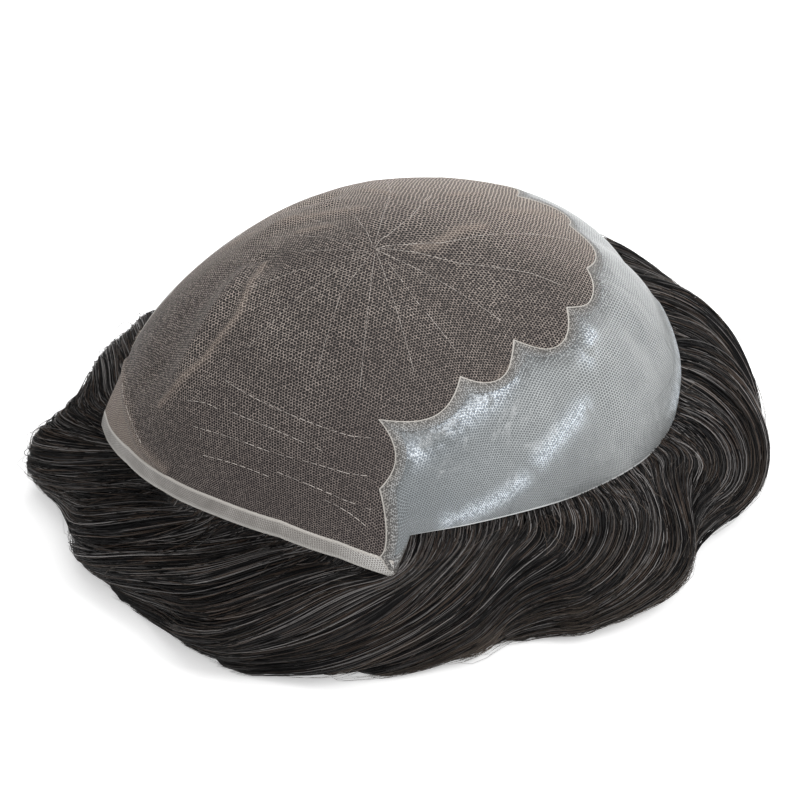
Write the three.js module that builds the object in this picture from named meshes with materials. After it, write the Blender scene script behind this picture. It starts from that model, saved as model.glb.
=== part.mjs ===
// A men's toupee laid inside out on a table, in millimetres. The scalp side of the cap faces up as a dome and the
// hair lies in a roll all round and under it. x runs across the head, y from the forehead (-) to the nape (+), and
// z up from the table. A direction "toward" is in degrees round the crown: 0 is the +x side, 90 the nape, -90 the
// forehead. A "reach" is a share of the way down the dome, 0 at the crown and 1 at the rim.
import * as THREE from 'three';

// Cap
const CAP_HALF_WIDTH = 78;
const WIDEST_Y = 14;
const SIDE_FRONT_REACH = 117;
const SIDE_BACK_REACH = 75.5;
const HAIRLINE_HALF_WIDTH = 56.5;
const HAIRLINE_CORNER_Y = -73;
const HAIRLINE_BOW = 23.5;
const CROWN_Y = -12;
const CROWN_HEIGHT = 92.5;
const DOME_FULLNESS = 1.6;
const WALL = 1;
const GAP = 0.35;
// The skin's leaning facets need a little more room at the seam, and at its corners.
const SKIN_GAP = 1.5 * GAP;
const STRIP_WIDTH = 5.4;
const SEAM_WIDTH = 4;
const CORNER_TAB_SPAN = 3.7;
const ROUND_CORNER_SPAN = 9;
const CORNER_START = 0.7;

// Hair
const ROOT_LAYER = 3;
// The facets of the cap's underside dip inwards by up to this much.
const FACET_SAG = 0.9;
const FOOT_WIDTH = 13;
const LOCK_RISE = 5;

// Construction
const REACH_STEP = 0.001;
const SEAM_SMOOTHING = 0.4;
const STRIP_NARROWING = 0.45;
const TIP_GAP = 0.35;
const SKIN_TIP_GAP = 3 * TIP_GAP;
const FLOW_STEP = 2;
const CORNER_EASE = 0.65;
const CORNER_LOBES = 2;
const FAN_FADE = 70;
const SKIN_FAN = 15;
const CORNER_SLACK = 10;
const ROOT_REACHES = [0.2, 0.4, 0.58, 0.74, 0.86, 0.94];
const UNDERSIDE_REACHES = [0.92, 0.72, 0.45];
const UNDER_EDGE = 6;
const EDGE_CLEARANCE = 2;
const ROLL_CORE_OUT = 0.15;
const ROLL_CORE_UP = 0.25;
const INNER_WALL_SHARE = 0.7;

// Facets
const LOBE_STEPS = 4;
const STRIP_STEPS = 24;
const LACE_RINGS = 6;
const SKIN_RINGS = 4;

// Height of the dome's edge above the table, and how far the front corners hang below it.
const RIM = [
  { toward: -180, height: 33, drop: 0 },
  { toward: -160, height: 37, drop: 0 },
  { toward: -146, height: 39, drop: 2 },
  { toward: -134, height: 40, drop: 9 },
  { toward: -126, height: 40.5, drop: 7.5 },
  { toward: -112, height: 41, drop: 2 },
  { toward: -98, height: 42.4, drop: 0 },
  { toward: -84, height: 44.3, drop: 0 },
  { toward: -70, height: 43.5, drop: 1 },
  { toward: -58, height: 42.2, drop: 5 },
  { toward: -47.2, height: 42.4, drop: 11.7 },
  { toward: -43.5, height: 42.6, drop: 0 },
  { toward: -20, height: 38, drop: 0 },
  { toward: 0, height: 32.3, drop: 0 },
  { toward: 20, height: 27.5, drop: 0 },
  { toward: 37, height: 25.2, drop: 0 },
  { toward: 60, height: 29, drop: 0 },
  { toward: 90, height: 37, drop: 0 },
  { toward: 120, height: 29, drop: 0 },
  { toward: 150, height: 26, drop: 0 },
  { toward: 180, height: 33, drop: 0 },
];

// The scalloped edge of the lace: each row is a cusp and the top of the round lobe that follows it. The first and
// last cusps are where the edge meets the front strip.
const NEAR_SCALLOPS = [
  { toward: -50, lobeToward: -48.7, lobeReach: 0.86 },
  { toward: -50, reach: 0.74, lobeToward: -46, lobeReach: 0.65 },
  { toward: -50, reach: 0.53, lobeToward: -34, lobeReach: 0.55 },
  { toward: -21, reach: 0.46, lobeToward: -8, lobeReach: 0.5 },
  { toward: 7, reach: 0.42, lobeToward: 19, lobeReach: 0.49 },
  { toward: 34, reach: 0.44, lobeToward: 44, lobeReach: 0.495 },
  { toward: 55, reach: 0.48, lobeToward: 65, lobeReach: 0.54 },
  { toward: 75, reach: 0.52, lobeToward: 81, lobeReach: 0.56 },
  { toward: 87, reach: 0.44, lobeToward: 98, lobeReach: 0.56 },
];
const FAR_SCALLOPS = [
  { toward: 112, reach: 0.5, lobeToward: 120, lobeReach: 0.55 },
  { toward: 130, reach: 0.47, lobeToward: 140, lobeReach: 0.53 },
  { toward: 151, reach: 0.45, lobeToward: 164, lobeReach: 0.53 },
  { toward: 177, reach: 0.46, lobeToward: 190, lobeReach: 0.55 },
  { toward: 203, reach: 0.54, lobeToward: 210, lobeReach: 0.66 },
  { toward: 210, reach: 0.74, lobeToward: 212, lobeReach: 0.84 },
  { toward: 212 },
];

// Folds and dimples of the cap: a valley (depth > 0) or ridge (depth < 0) from one place to another, seen from above.
const FOLDS = [
  { x1: -29, y1: -37, x2: -23, y2: -73, depth: -1.6, width: 3.5 },
  { x1: -38, y1: -40, x2: -35, y2: -72, depth: 1.8, width: 7 },
  { x1: -27, y1: -33, x2: -24, y2: -36, depth: 1.8, width: 5 },
  { x1: -39, y1: -21, x2: -28, y2: 2, depth: -1.2, width: 4 },
  { x1: -46, y1: 8, x2: -38, y2: 10, depth: 2.2, width: 4.5 },
  { x1: 60, y1: -30, x2: 72, y2: -26, depth: 1.2, width: 7 },
  { x1: 58, y1: 2, x2: 74, y2: 8, depth: 1.2, width: 7 },
  { x1: 50, y1: 34, x2: 62, y2: 44, depth: 1.2, width: 7 },
  { x1: 22, y1: 66, x2: 28, y2: 80, depth: 1.2, width: 7 },
];

// The roll of hair: height of its crest and how far it goes past the cap's edge.
const ROLL = [
  { toward: -180, crest: 27, past: 14 },
  { toward: -165, crest: 30, past: 11 },
  { toward: -153, crest: 33, past: 14 },
  { toward: -147, crest: 31, past: 12.5 },
  { toward: -139, crest: 25, past: 21 },
  { toward: -134, crest: 26, past: 17 },
  { toward: -128, crest: 31, past: 12 },
  { toward: -119, crest: 34, past: 13.5 },
  { toward: -108, crest: 35, past: 12 },
  { toward: -95, crest: 35, past: 10.5 },
  { toward: -78, crest: 35, past: 13.5 },
  { toward: -62, crest: 32, past: 12.5 },
  { toward: -46, crest: 28, past: 11 },
  { toward: -32, crest: 30, past: 12.5 },
  { toward: -21, crest: 30, past: 14.5 },
  { toward: -11, crest: 29, past: 22.3 },
  { toward: 4, crest: 28, past: 26.3 },
  { toward: 13, crest: 26, past: 22 },
  { toward: 20, crest: 24.5, past: 16 },
  { toward: 28, crest: 24, past: 21 },
  { toward: 36, crest: 24, past: 25 },
  { toward: 45, crest: 24, past: 22 },
  { toward: 60, crest: 26, past: 23.5 },
  { toward: 76, crest: 26, past: 19 },
  { toward: 95, crest: 26, past: 19 },
  { toward: 120, crest: 26, past: 20 },
  { toward: 150, crest: 25, past: 17 },
  { toward: 180, crest: 27, past: 14 },
];

// Section of the roll, from under the cap's edge over the crest to the foot.
const ROLL_SECTION = [
  { out: -0.08, up: 1.12 },
  { out: 0.1, up: 1.08 },
  { out: 0.34, up: 1 },
  { out: 0.66, up: 0.9 },
  { out: 0.92, up: 0.66 },
  { out: 1, up: 0.4 },
  { out: 0.9, up: 0.16 },
  { out: 0.72, up: 0.04 },
  { out: 0.5, up: 0 },
];

// How far round the hair drifts on its way from the cap's edge to the table, in degrees. It parts behind the far
// side and runs together under the near front.
const FLOW = [
  { toward: -180, drift: 34 },
  { toward: -160, drift: 48 },
  { toward: -140, drift: 52 },
  { toward: -120, drift: 38 },
  { toward: -100, drift: 22 },
  { toward: -84, drift: 9 },
  { toward: -72, drift: 0 },
  { toward: -60, drift: -9 },
  { toward: -47, drift: -19 },
  { toward: -30, drift: -32 },
  { toward: -10, drift: -46 },
  { toward: 20, drift: -52 },
  { toward: 50, drift: -48 },
  { toward: 80, drift: -34 },
  { toward: 110, drift: -16 },
  { toward: 144, drift: 0 },
  { toward: 180, drift: 34 },
];
// The hair first hangs and then turns aside: 1 would be a straight slant.
const DRIFT_BEND = 1.8;
// Locks that are pressed together rise less, down to this share.
const LEAST_RISE = 0.25;

// Locks side by side round the roll, taken over and over: share of the round and of the rise.
const LOCKS = [
  { width: 1, rise: 0.8 },
  { width: 1.35, rise: 1.2 },
  { width: 0.75, rise: 0.55 },
  { width: 1.15, rise: 1 },
  { width: 0.85, rise: 0.7 },
  { width: 1.25, rise: 1.1 },
];
const LOCK_REPEATS = 5;

// Section across one lock: it rises gently and falls steeply over the next one.
const LOCK_SECTION = [
  { across: 0, rise: 0 },
  { across: 0.3, rise: 0.72 },
  { across: 0.62, rise: 1 },
  { across: 0.88, rise: 0.66 },
];

// Rise of the locks along the roll, from under the cap's edge to the foot.
const LOCK_RUN = [0, 0.25, 0.6, 0.85, 1, 1, 0.9, 0.8, 0.7];

const rad = THREE.MathUtils.degToRad;

const eased = (share) => THREE.MathUtils.smoothstep(share, 0, 1);
const straight = (share) => share;

// A column of a table at a direction between its rows.
function readTable(table, column, toward, ease = eased) {
  const turned = THREE.MathUtils.euclideanModulo(toward + 180, 360) - 180;
  const next = Math.max(1, table.findIndex((row) => row.toward >= turned));
  const a = table[next - 1];
  const b = table[next];
  const share = THREE.MathUtils.clamp((turned - a.toward) / (b.toward - a.toward), 0, 1);
  return THREE.MathUtils.lerp(a[column], b[column], ease(share));
}

// Distance from the crown to the side and back curve of the cap, seen from above.
function sideRadius(toward) {
  const dx = Math.cos(rad(toward));
  const dy = Math.sin(rad(toward));
  const rise = WIDEST_Y - CROWN_Y;
  const hit = (depth) => {
    const a = (dx / CAP_HALF_WIDTH) ** 2 + (dy / depth) ** 2;
    const b = (-2 * dy * rise) / depth ** 2;
    const c = (rise / depth) ** 2 - 1;
    return (-b + Math.sqrt(b * b - 4 * a * c)) / (2 * a);
  };
  const front = hit(SIDE_FRONT_REACH);
  return front * dy < rise ? front : hit(SIDE_BACK_REACH);
}

// Distance from the crown to the bowed front hairline.
function hairlineRadius(toward) {
  const dx = Math.cos(rad(toward));
  const dy = Math.sin(rad(toward));
  const bow = (HAIRLINE_BOW * dx * dx) / HAIRLINE_HALF_WIDTH ** 2;
  const ahead = HAIRLINE_CORNER_Y - HAIRLINE_BOW - CROWN_Y;
  return (2 * ahead) / (dy - Math.sqrt(dy * dy - 4 * bow * ahead));
}

const CORNER_BELOW = CROWN_Y - HAIRLINE_CORNER_Y;
const NEAR_CORNER = -THREE.MathUtils.radToDeg(Math.atan2(CORNER_BELOW, HAIRLINE_HALF_WIDTH));
const FAR_CORNER = -180 - NEAR_CORNER;
const CORNER_STEP = Math.hypot(HAIRLINE_HALF_WIDTH, CORNER_BELOW) - sideRadius(NEAR_CORNER);

// Distance from the crown to the dome's edge, where the front corners are cut short.
function domeRadius(toward) {
  const ahead = Math.sin(rad(toward)) < 0;
  return ahead ? Math.min(sideRadius(toward), hairlineRadius(toward)) : sideRadius(toward);
}

// Distance from the crown to the rim: a sharp tab ends the hairline at the near corner, a round turn at the far one.
function rimRadius(toward) {
  const turned = THREE.MathUtils.euclideanModulo(toward + 180, 360) - 180;
  if (turned >= FAR_CORNER && turned <= NEAR_CORNER) return hairlineRadius(turned);
  const past = turned > NEAR_CORNER ? turned - NEAR_CORNER : FAR_CORNER - turned;
  const span = turned > NEAR_CORNER ? CORNER_TAB_SPAN : ROUND_CORNER_SPAN;
  return sideRadius(turned) + CORNER_STEP * Math.max(0, 1 - past / span);
}

function rimHeight(toward) {
  return readTable(RIM, 'height', toward) - readTable(RIM, 'drop', toward);
}

function foldDepth(x, y) {
  const here = new THREE.Vector3(x, y, 0);
  const nearest = new THREE.Vector3();
  return FOLDS.reduce((sum, fold) => {
    const ridge = new THREE.Line3(new THREE.Vector3(fold.x1, fold.y1, 0), new THREE.Vector3(fold.x2, fold.y2, 0));
    const away = ridge.closestPointToPoint(here, true, nearest).distanceTo(here);
    return sum + fold.depth * Math.exp(-((away / fold.width) ** 2));
  }, 0);
}

// A place on the smooth dome, given on its flat pattern: a disc of radius 1 with the crown at its centre. The front
// corners leave the dome near the rim alone.
function domePoint(disc) {
  const reach = Math.min(disc.length(), 1);
  const toward = THREE.MathUtils.radToDeg(Math.atan2(disc.y, disc.x));
  const out = Math.sin((reach * Math.PI) / 2);
  const up = Math.max(0, 1 - out ** DOME_FULLNESS) ** (1 / DOME_FULLNESS);
  const hang = THREE.MathUtils.smoothstep(reach, CORNER_START, 1);
  const radius = THREE.MathUtils.lerp(domeRadius(toward), rimRadius(toward), hang) * out;
  const edge = readTable(RIM, 'height', toward) - readTable(RIM, 'drop', toward) * hang;
  return new THREE.Vector3(
    radius * Math.cos(rad(toward)),
    CROWN_Y + radius * Math.sin(rad(toward)),
    edge + (CROWN_HEIGHT - edge) * up,
  );
}

const NORMAL_STEP = 0.012;
const NORMAL_REACH = 1 - 1.5 * NORMAL_STEP;

function domeNormal(disc) {
  const inside = disc.clone().clampLength(0, NORMAL_REACH);
  const slope = (x, y) => {
    const step = new THREE.Vector2(x, y).multiplyScalar(NORMAL_STEP);
    return domePoint(inside.clone().add(step)).sub(domePoint(inside.clone().sub(step)));
  };
  return slope(1, 0).cross(slope(0, 1)).normalize();
}

// A place on the cap with its folds, at a depth under the scalp side.
function capPoint(disc, depth) {
  const point = domePoint(disc);
  const sink = foldDepth(point.x, point.y) + depth;
  return point.addScaledVector(domeNormal(disc), -sink);
}

function polar(toward, reach) {
  return new THREE.Vector2(reach * Math.cos(rad(toward)), reach * Math.sin(rad(toward)));
}

// The place a given width above the rim, measured on the dome.
function aboveRim(toward, width) {
  const rim = domePoint(polar(toward, 1));
  let reach = 1;
  while (reach > 0 && domePoint(polar(toward, reach)).distanceTo(rim) < width) reach -= REACH_STEP;
  return polar(toward, reach);
}

// The lace edge from the near corner round the nape to the far corner, as an arc for each lobe.
function scallopLine() {
  const rows = [...NEAR_SCALLOPS, ...FAR_SCALLOPS];
  const cusps = rows.map((row) =>
    row.reach ? polar(row.toward, row.reach) : aboveRim(row.toward, STRIP_WIDTH),
  );
  const line = rows.slice(0, -1).flatMap((row, i) => {
    const top = polar(row.lobeToward, row.lobeReach);
    const control = top.multiplyScalar(2).sub(cusps[i].clone().lerp(cusps[i + 1], 0.5));
    return new THREE.QuadraticBezierCurve(cusps[i], control, cusps[i + 1]).getPoints(LOBE_STEPS).slice(0, -1);
  });
  return [...line, cusps.at(-1)];
}

function averaged(line, i, span) {
  const picked = line.slice(Math.max(0, i - span), i + span + 1);
  return picked.reduce((sum, p) => sum.add(p), new THREE.Vector2()).divideScalar(picked.length);
}

// Outward directions square to a line, smoothed over a number of places on either side.
function outward(line, span) {
  const smooth = line.map((_, i) => averaged(line, i, span));
  return line.map((_, i) => {
    const along = smooth[Math.min(i + 1, line.length - 1)].clone().sub(smooth[Math.max(i - 1, 0)]);
    return new THREE.Vector2(along.y, -along.x).normalize();
  });
}

// A line on the flat pattern moved sideways by a width measured on the dome.
function shifted(line, directions, width) {
  return line.map((place, i) => {
    const step = directions[i].clone().multiplyScalar(REACH_STEP);
    const stepLength = domePoint(place).distanceTo(domePoint(place.clone().sub(step)));
    return place.clone().addScaledVector(step, width / stepLength);
  });
}

const SCALLOPS = scallopLine();
const SEAM_EDGE = shifted(
  SCALLOPS.map((place, i) => place.clone().lerp(averaged(SCALLOPS, i, LOBE_STEPS / 2), SEAM_SMOOTHING)),
  outward(SCALLOPS, LOBE_STEPS / 2),
  SEAM_WIDTH,
);
const NEAR_END = NEAR_SCALLOPS[0].toward;
const FAR_END = FAR_SCALLOPS.at(-1).toward;

// Directions of the front strip's columns, from the far end round the forehead to the near corner.
function stripDirections() {
  const turn = 360 + NEAR_END - FAR_END;
  return Array.from({ length: STRIP_STEPS + 1 }, (_, i) => FAR_END + (turn * i) / STRIP_STEPS);
}

// The triangles between neighbouring rings of places on the flat pattern, each ring outside the last.
function gridCells(rings) {
  return rings.slice(1).flatMap((outer, r) => {
    const inner = rings[r];
    return inner.slice(1).flatMap((_, i) => [
      [inner[i], outer[i], outer[i + 1]],
      [inner[i], outer[i + 1], inner[i + 1]],
    ]);
  });
}

// A closed sheet from triangles on the cap's flat pattern. A wall joins its two faces along every open edge.
function sheetGeometry(cells) {
  const key = (place) => place.toArray().map((v) => v.toFixed(5)).join();
  const places = new Map(cells.flat().map((place) => [key(place), place]));
  const upper = new Map([...places].map(([name, place]) => [name, capPoint(place, 0)]));
  const lower = new Map([...places].map(([name, place]) => [name, capPoint(place, WALL)]));
  const faces = cells.map((cell) => cell.map(key));
  const edges = faces.flatMap(([a, b, c]) => [[a, b], [b, c], [c, a]]);
  const known = new Set(edges.map((edge) => edge.join(' ')));
  const open = edges.filter(([a, b]) => !known.has(b + ' ' + a));
  const triangles = [
    ...faces.flatMap(([a, b, c]) => [upper.get(a), upper.get(b), upper.get(c)]),
    ...faces.flatMap(([a, b, c]) => [lower.get(a), lower.get(c), lower.get(b)]),
    ...open.flatMap(([a, b]) => [upper.get(a), lower.get(a), lower.get(b)]),
    ...open.flatMap(([a, b]) => [upper.get(a), lower.get(b), upper.get(b)]),
  ];
  return new THREE.BufferGeometry().setFromPoints(triangles);
}

// Rings between two edges with the same number of places.
function ringsBetween(inner, outer, count) {
  return Array.from({ length: count + 1 }, (_, r) => inner.map((p, i) => p.clone().lerp(outer[i], r / count)));
}

function towardOf(place) {
  const turned = THREE.MathUtils.radToDeg(place.angle()) - NEAR_END + CORNER_SLACK;
  return THREE.MathUtils.euclideanModulo(turned, 360) + NEAR_END - CORNER_SLACK;
}

// The lace of the crown: rings out to the scallops and across the front, then rows down to the front strip. The
// scalloped edge's first and last lobes run down the ends of those rows.
function laceCrown() {
  const edge = shifted(SCALLOPS, outward(SCALLOPS, 0), -GAP / 2);
  const cornerSteps = CORNER_LOBES * LOBE_STEPS;
  const rows = Array.from({ length: cornerSteps + 1 }, (_, row) => {
    const far = edge.at(-1 - cornerSteps + row);
    const near = edge[cornerSteps - row];
    const turn = 360 + towardOf(near) - towardOf(far);
    const inside = Array.from({ length: STRIP_STEPS - 1 }, (_, i) => {
      const share = (i + 1) / STRIP_STEPS;
      const toward = towardOf(far) + turn * share;
      const start = THREE.MathUtils.lerp(edge.at(-1 - cornerSteps).length(), edge[cornerSteps].length(), share);
      const stop = aboveRim(toward, stripWidth(toward) + GAP / 2).length();
      return polar(toward, THREE.MathUtils.lerp(start, stop, row / cornerSteps));
    });
    return [far, ...inside, near];
  });
  const round = [...edge.slice(cornerSteps, -1 - cornerSteps), ...rows[0]];
  const rings = Array.from({ length: LACE_RINGS }, (_, r) =>
    round.map((place) => place.clone().multiplyScalar((r + 1) / LACE_RINGS)),
  );
  const crown = new THREE.Vector2();
  const middle = rings[0].slice(1).map((place, i) => [crown, rings[0][i], place]);
  return sheetGeometry([...middle, ...gridCells(rings), ...gridCells(rows)]);
}

// The pale strip along the forehead, which narrows round the far corner.
function stripWidth(toward) {
  const round = THREE.MathUtils.smoothstep(toward, FAR_END, 360 + FAR_CORNER);
  return STRIP_WIDTH * THREE.MathUtils.lerp(STRIP_NARROWING, 1, round);
}

function frontStrip() {
  const directions = stripDirections();
  const inner = directions.map((toward) => aboveRim(toward, stripWidth(toward) - GAP / 2));
  const outer = directions.map((toward, i) => polar(i < STRIP_STEPS ? toward : NEAR_CORNER - TIP_GAP, 1));
  return sheetGeometry(gridCells([inner, outer]));
}

// The lap where lace and skin are bonded, along the scallops and down to the tab at the near corner.
function scallopSeam() {
  const inner = [
    polar(NEAR_CORNER + TIP_GAP, 1),
    ...shifted(SCALLOPS, outward(SCALLOPS, 0), GAP / 2),
    polar(FAR_END - TIP_GAP, 1),
  ];
  const outer = [
    polar(NEAR_CORNER + CORNER_TAB_SPAN, 1),
    ...SEAM_EDGE,
    polar(FAR_END - CORNER_TAB_SPAN, 1),
  ];
  return sheetGeometry(gridCells([inner, outer]));
}

// The thin skin round the sides and nape. Its columns lean at the corners, so that they reach the rim in order.
function skinPerimeter() {
  const inner = shifted(SEAM_EDGE, outward(SEAM_EDGE, 0), SKIN_GAP);
  inner[0].lerp(inner[1], CORNER_EASE);
  inner.at(-1).lerp(inner.at(-2), CORNER_EASE);
  const corner = CORNER_LOBES * LOBE_STEPS;
  const nearEdge = NEAR_CORNER + CORNER_TAB_SPAN + SKIN_TIP_GAP;
  const farEdge = FAR_END - CORNER_TAB_SPAN - SKIN_TIP_GAP;
  const outer = inner.map((place, i) => {
    const toward = towardOf(place);
    const fromEnd = inner.length - 1 - i;
    if (i < corner) return polar(nearEdge + (SKIN_FAN * i) / corner, 1);
    if (fromEnd < corner) return polar(farEdge - (SKIN_FAN * fromEnd) / corner, 1);
    const fromNear = nearEdge + SKIN_FAN - towardOf(inner[corner]);
    const fromFar = farEdge - SKIN_FAN - towardOf(inner.at(-1 - corner));
    const nearShare = Math.max(0, 1 - (toward - towardOf(inner[corner])) / FAN_FADE);
    const farShare = Math.max(0, 1 - (towardOf(inner.at(-1 - corner)) - toward) / FAN_FADE);
    return polar(toward + fromNear * nearShare + fromFar * farShare, 1);
  });
  return sheetGeometry(gridCells(ringsBetween(inner, outer, SKIN_RINGS)));
}

// A place on the roll of hair in a row of its section, pushed out from the roll's core by a lock's rise.
function rollPoint(toward, row, rise) {
  const past = readTable(ROLL, 'past', toward);
  const crest = readTable(ROLL, 'crest', toward);
  const core = new THREE.Vector2(ROLL_CORE_OUT * past, ROLL_CORE_UP * crest);
  const place = new THREE.Vector2(ROLL_SECTION[row].out * past, ROLL_SECTION[row].up * crest);
  place.add(place.clone().sub(core).setLength(rise * LOCK_RUN[row]));
  const ceiling = place.x < UNDER_EDGE ? rimHeight(toward) - EDGE_CLEARANCE : Infinity;
  return insideRim(toward, -place.x, THREE.MathUtils.clamp(place.y, 0, ceiling));
}

function insideRim(toward, inset, height) {
  const radius = rimRadius(toward) - inset;
  return new THREE.Vector3(radius * Math.cos(rad(toward)), CROWN_Y + radius * Math.sin(rad(toward)), height);
}

// Directions round the crown where the locks' columns start, with the rise of each column.
function lockColumns() {
  const locks = Array.from({ length: LOCK_REPEATS }, () => LOCKS).flat();
  const whole = locks.reduce((sum, lock) => sum + lock.width, 0);
  let start = -180;
  return locks.flatMap((lock) => {
    const turn = (360 * lock.width) / whole;
    const columns = LOCK_SECTION.map(({ across, rise }) => ({
      toward: start + turn * across,
      rise: LOCK_RISE * lock.rise * rise,
    }));
    start += turn;
    return columns;
  });
}

// The hair: a root layer under the whole cap, the roll of locks round it and an open hollow under the dome.
function hair() {
  const top = WALL + GAP + FACET_SAG;
  const lastRow = ROLL_SECTION.length - 1;
  const columns = lockColumns().map(({ toward, rise }) => {
    const drift = readTable(FLOW, 'drift', toward, straight);
    const spread = (readTable(FLOW, 'drift', toward + FLOW_STEP, straight) - drift) / FLOW_STEP;
    const rollPlace = (_, row) => {
      const bend = (row / lastRow) ** DRIFT_BEND;
      const pressed = THREE.MathUtils.clamp(1 + spread * bend, LEAST_RISE, 1);
      return rollPoint(toward + drift * bend, row, rise * pressed);
    };
    return [
      ...ROOT_REACHES.map((reach) => capPoint(polar(toward, reach), top)),
      ...ROLL_SECTION.map(rollPlace),
      insideRim(toward + drift, FOOT_WIDTH, 0),
      insideRim(toward + drift / 2, FOOT_WIDTH, readTable(ROLL, 'crest', toward) * INNER_WALL_SHARE),
      ...UNDERSIDE_REACHES.map((reach) => capPoint(polar(toward, reach), top + ROOT_LAYER)),
    ];
  });
  const upperCrown = capPoint(new THREE.Vector2(), top);
  const lowerCrown = capPoint(new THREE.Vector2(), top + ROOT_LAYER);
  const triangles = [];
  columns.forEach((here, i) => {
    const next = columns[(i + 1) % columns.length];
    triangles.push(upperCrown, here[0], next[0], lowerCrown, next.at(-1), here.at(-1));
    for (let r = 0; r < here.length - 1; r++) {
      triangles.push(here[r], here[r + 1], next[r + 1], here[r], next[r + 1], next[r]);
    }
  });
  return new THREE.BufferGeometry().setFromPoints(triangles);
}

function part(name, geometry, color, roughness, metalness) {
  const mesh = new THREE.Mesh(geometry, new THREE.MeshStandardMaterial({ color, roughness, metalness }));
  mesh.name = name;
  return mesh;
}

const laid = new THREE.Group();
laid.add(
  part('lace_crown', laceCrown(), 0x6b5a50, 0.85, 0),
  part('scallop_seam', scallopSeam(), 0x9c968c, 0.6, 0),
  part('skin_perimeter', skinPerimeter(), 0xb9c2c4, 0.25, 0),
  part('front_strip', frontStrip(), 0xc9c5bc, 0.5, 0),
  part('hair', hair(), 0x1b1715, 0.45, 0),
);

// The origin is under the middle of the whole piece, on the table.
const middle = new THREE.Box3().setFromObject(laid).getCenter(new THREE.Vector3());
laid.position.set(-middle.x, -middle.y, 0);

const toupee = new THREE.Group();
toupee.add(laid);

export default toupee;
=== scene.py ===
"""A men's toupee lying inside out: a lace crown, a seam in scallops, a thin skin, a front strip and wavy hair."""
import math

import bmesh
import bpy
import numpy as np
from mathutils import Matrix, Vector


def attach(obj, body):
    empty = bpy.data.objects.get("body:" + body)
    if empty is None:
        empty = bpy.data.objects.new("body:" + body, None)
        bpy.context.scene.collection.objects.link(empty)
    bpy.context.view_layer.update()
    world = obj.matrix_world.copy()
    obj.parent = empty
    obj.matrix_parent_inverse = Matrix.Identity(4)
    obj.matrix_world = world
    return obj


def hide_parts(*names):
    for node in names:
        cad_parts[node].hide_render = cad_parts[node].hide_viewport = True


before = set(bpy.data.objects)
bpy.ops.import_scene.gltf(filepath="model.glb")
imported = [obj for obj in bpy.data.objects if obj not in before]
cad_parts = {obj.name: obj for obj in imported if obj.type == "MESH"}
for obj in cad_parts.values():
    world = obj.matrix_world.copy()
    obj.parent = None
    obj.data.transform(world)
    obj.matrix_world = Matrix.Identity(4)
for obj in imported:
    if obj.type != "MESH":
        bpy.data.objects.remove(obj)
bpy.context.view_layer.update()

# Where the cap's own middle lies in the model's frame, in millimetres.
LAID = np.array([-5.140, -0.774, 0.0])
MM = 0.001
MERGE = 2e-6

# Cap, as in the part's source
CAP_HALF_WIDTH = 78.0
WIDEST_Y = 14.0
SIDE_FRONT_REACH = 117.0
SIDE_BACK_REACH = 75.5
HAIRLINE_HALF_WIDTH = 56.5
HAIRLINE_CORNER_Y = -73.0
HAIRLINE_BOW = 23.5
CROWN_Y = -12.0
CROWN_HEIGHT = 92.5
DOME_FULLNESS = 1.6
STRIP_WIDTH = 5.4
SEAM_WIDTH = 4.0
CORNER_TAB_SPAN = 3.7
ROUND_CORNER_SPAN = 9.0
CORNER_START = 0.7
STRIP_NARROWING = 0.45
SEAM_SMOOTHING = 0.4
CORNER_LOBES = 2
LOBE_STEPS = 12
FAN_FADE = 70.0
SKIN_FAN = 15.0
CORNER_SLACK = 10.0
LACE_WALL = 0.7
TRIM_WALL = 1.0
TRIM_PROUD = 0.16
STRIP_PROUD = 0.112
UNDER_TRIM = 1.3
SKIN_SIDE = 0.6
ARC_MM = 110.0
MAP_SCALE = 0.49
FOLD_FADE = 0.1
LOOP_EDGE = 0.035
PATTERN_STEP = 0.001
WIDEST_STRIP = 160
NORMAL_STEP = 0.012
# Degrees either side that tables and the rim are averaged over
TABLE_STEPS = (-6, -3, 0, 3, 6)
RIM_STEPS = (-6, -4, -2, 0, 2, 4, 6)

# Columns and rows of the pieces' grids
CLOTH_ROWS = 90
TRIM_ROWS = 12
FORE_COLUMNS = 220
FORE_EDGE = 180
FORE_BLEND = 40
STRIP_COLUMNS = 260
MASS_COLUMNS = 1100
ROLL_ROWS = 56

# toward, height of the dome's edge, how far the front corners hang below it
RIM = np.array([
    (-180, 33, 0), (-160, 37, 0), (-146, 39, 2), (-134, 40, 9), (-126, 40.5, 7.5), (-112, 41, 2),
    (-98, 42.4, 0), (-84, 44.3, 0), (-70, 43.5, 1), (-58, 42.2, 5), (-47.2, 42.4, 11.7), (-43.5, 42.6, 0),
    (-20, 38, 0), (0, 32.3, 0), (20, 27.5, 0), (37, 25.2, 0), (60, 29, 0), (90, 37, 0),
    (120, 29, 0), (150, 26, 0), (180, 33, 0),
], float)

# toward and reach of a cusp, then of the round lobe that follows it; a reach of 0 stands on the front strip
SCALLOP_ROWS = [
    (-50, 0, -48.7, 0.86), (-50, 0.74, -46, 0.65), (-50, 0.53, -34, 0.55), (-21, 0.46, -8, 0.5),
    (7, 0.42, 19, 0.49), (34, 0.44, 44, 0.495), (55, 0.48, 65, 0.54), (75, 0.52, 81, 0.56),
    (87, 0.44, 98, 0.56), (112, 0.5, 120, 0.55), (130, 0.47, 140, 0.53), (151, 0.46, 164, 0.56),
    (177, 0.52, 190, 0.65), (202, 0.67, 208, 0.76), (210, 0.79, 212, 0.86), (212, 0, 0, 0),
]

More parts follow.
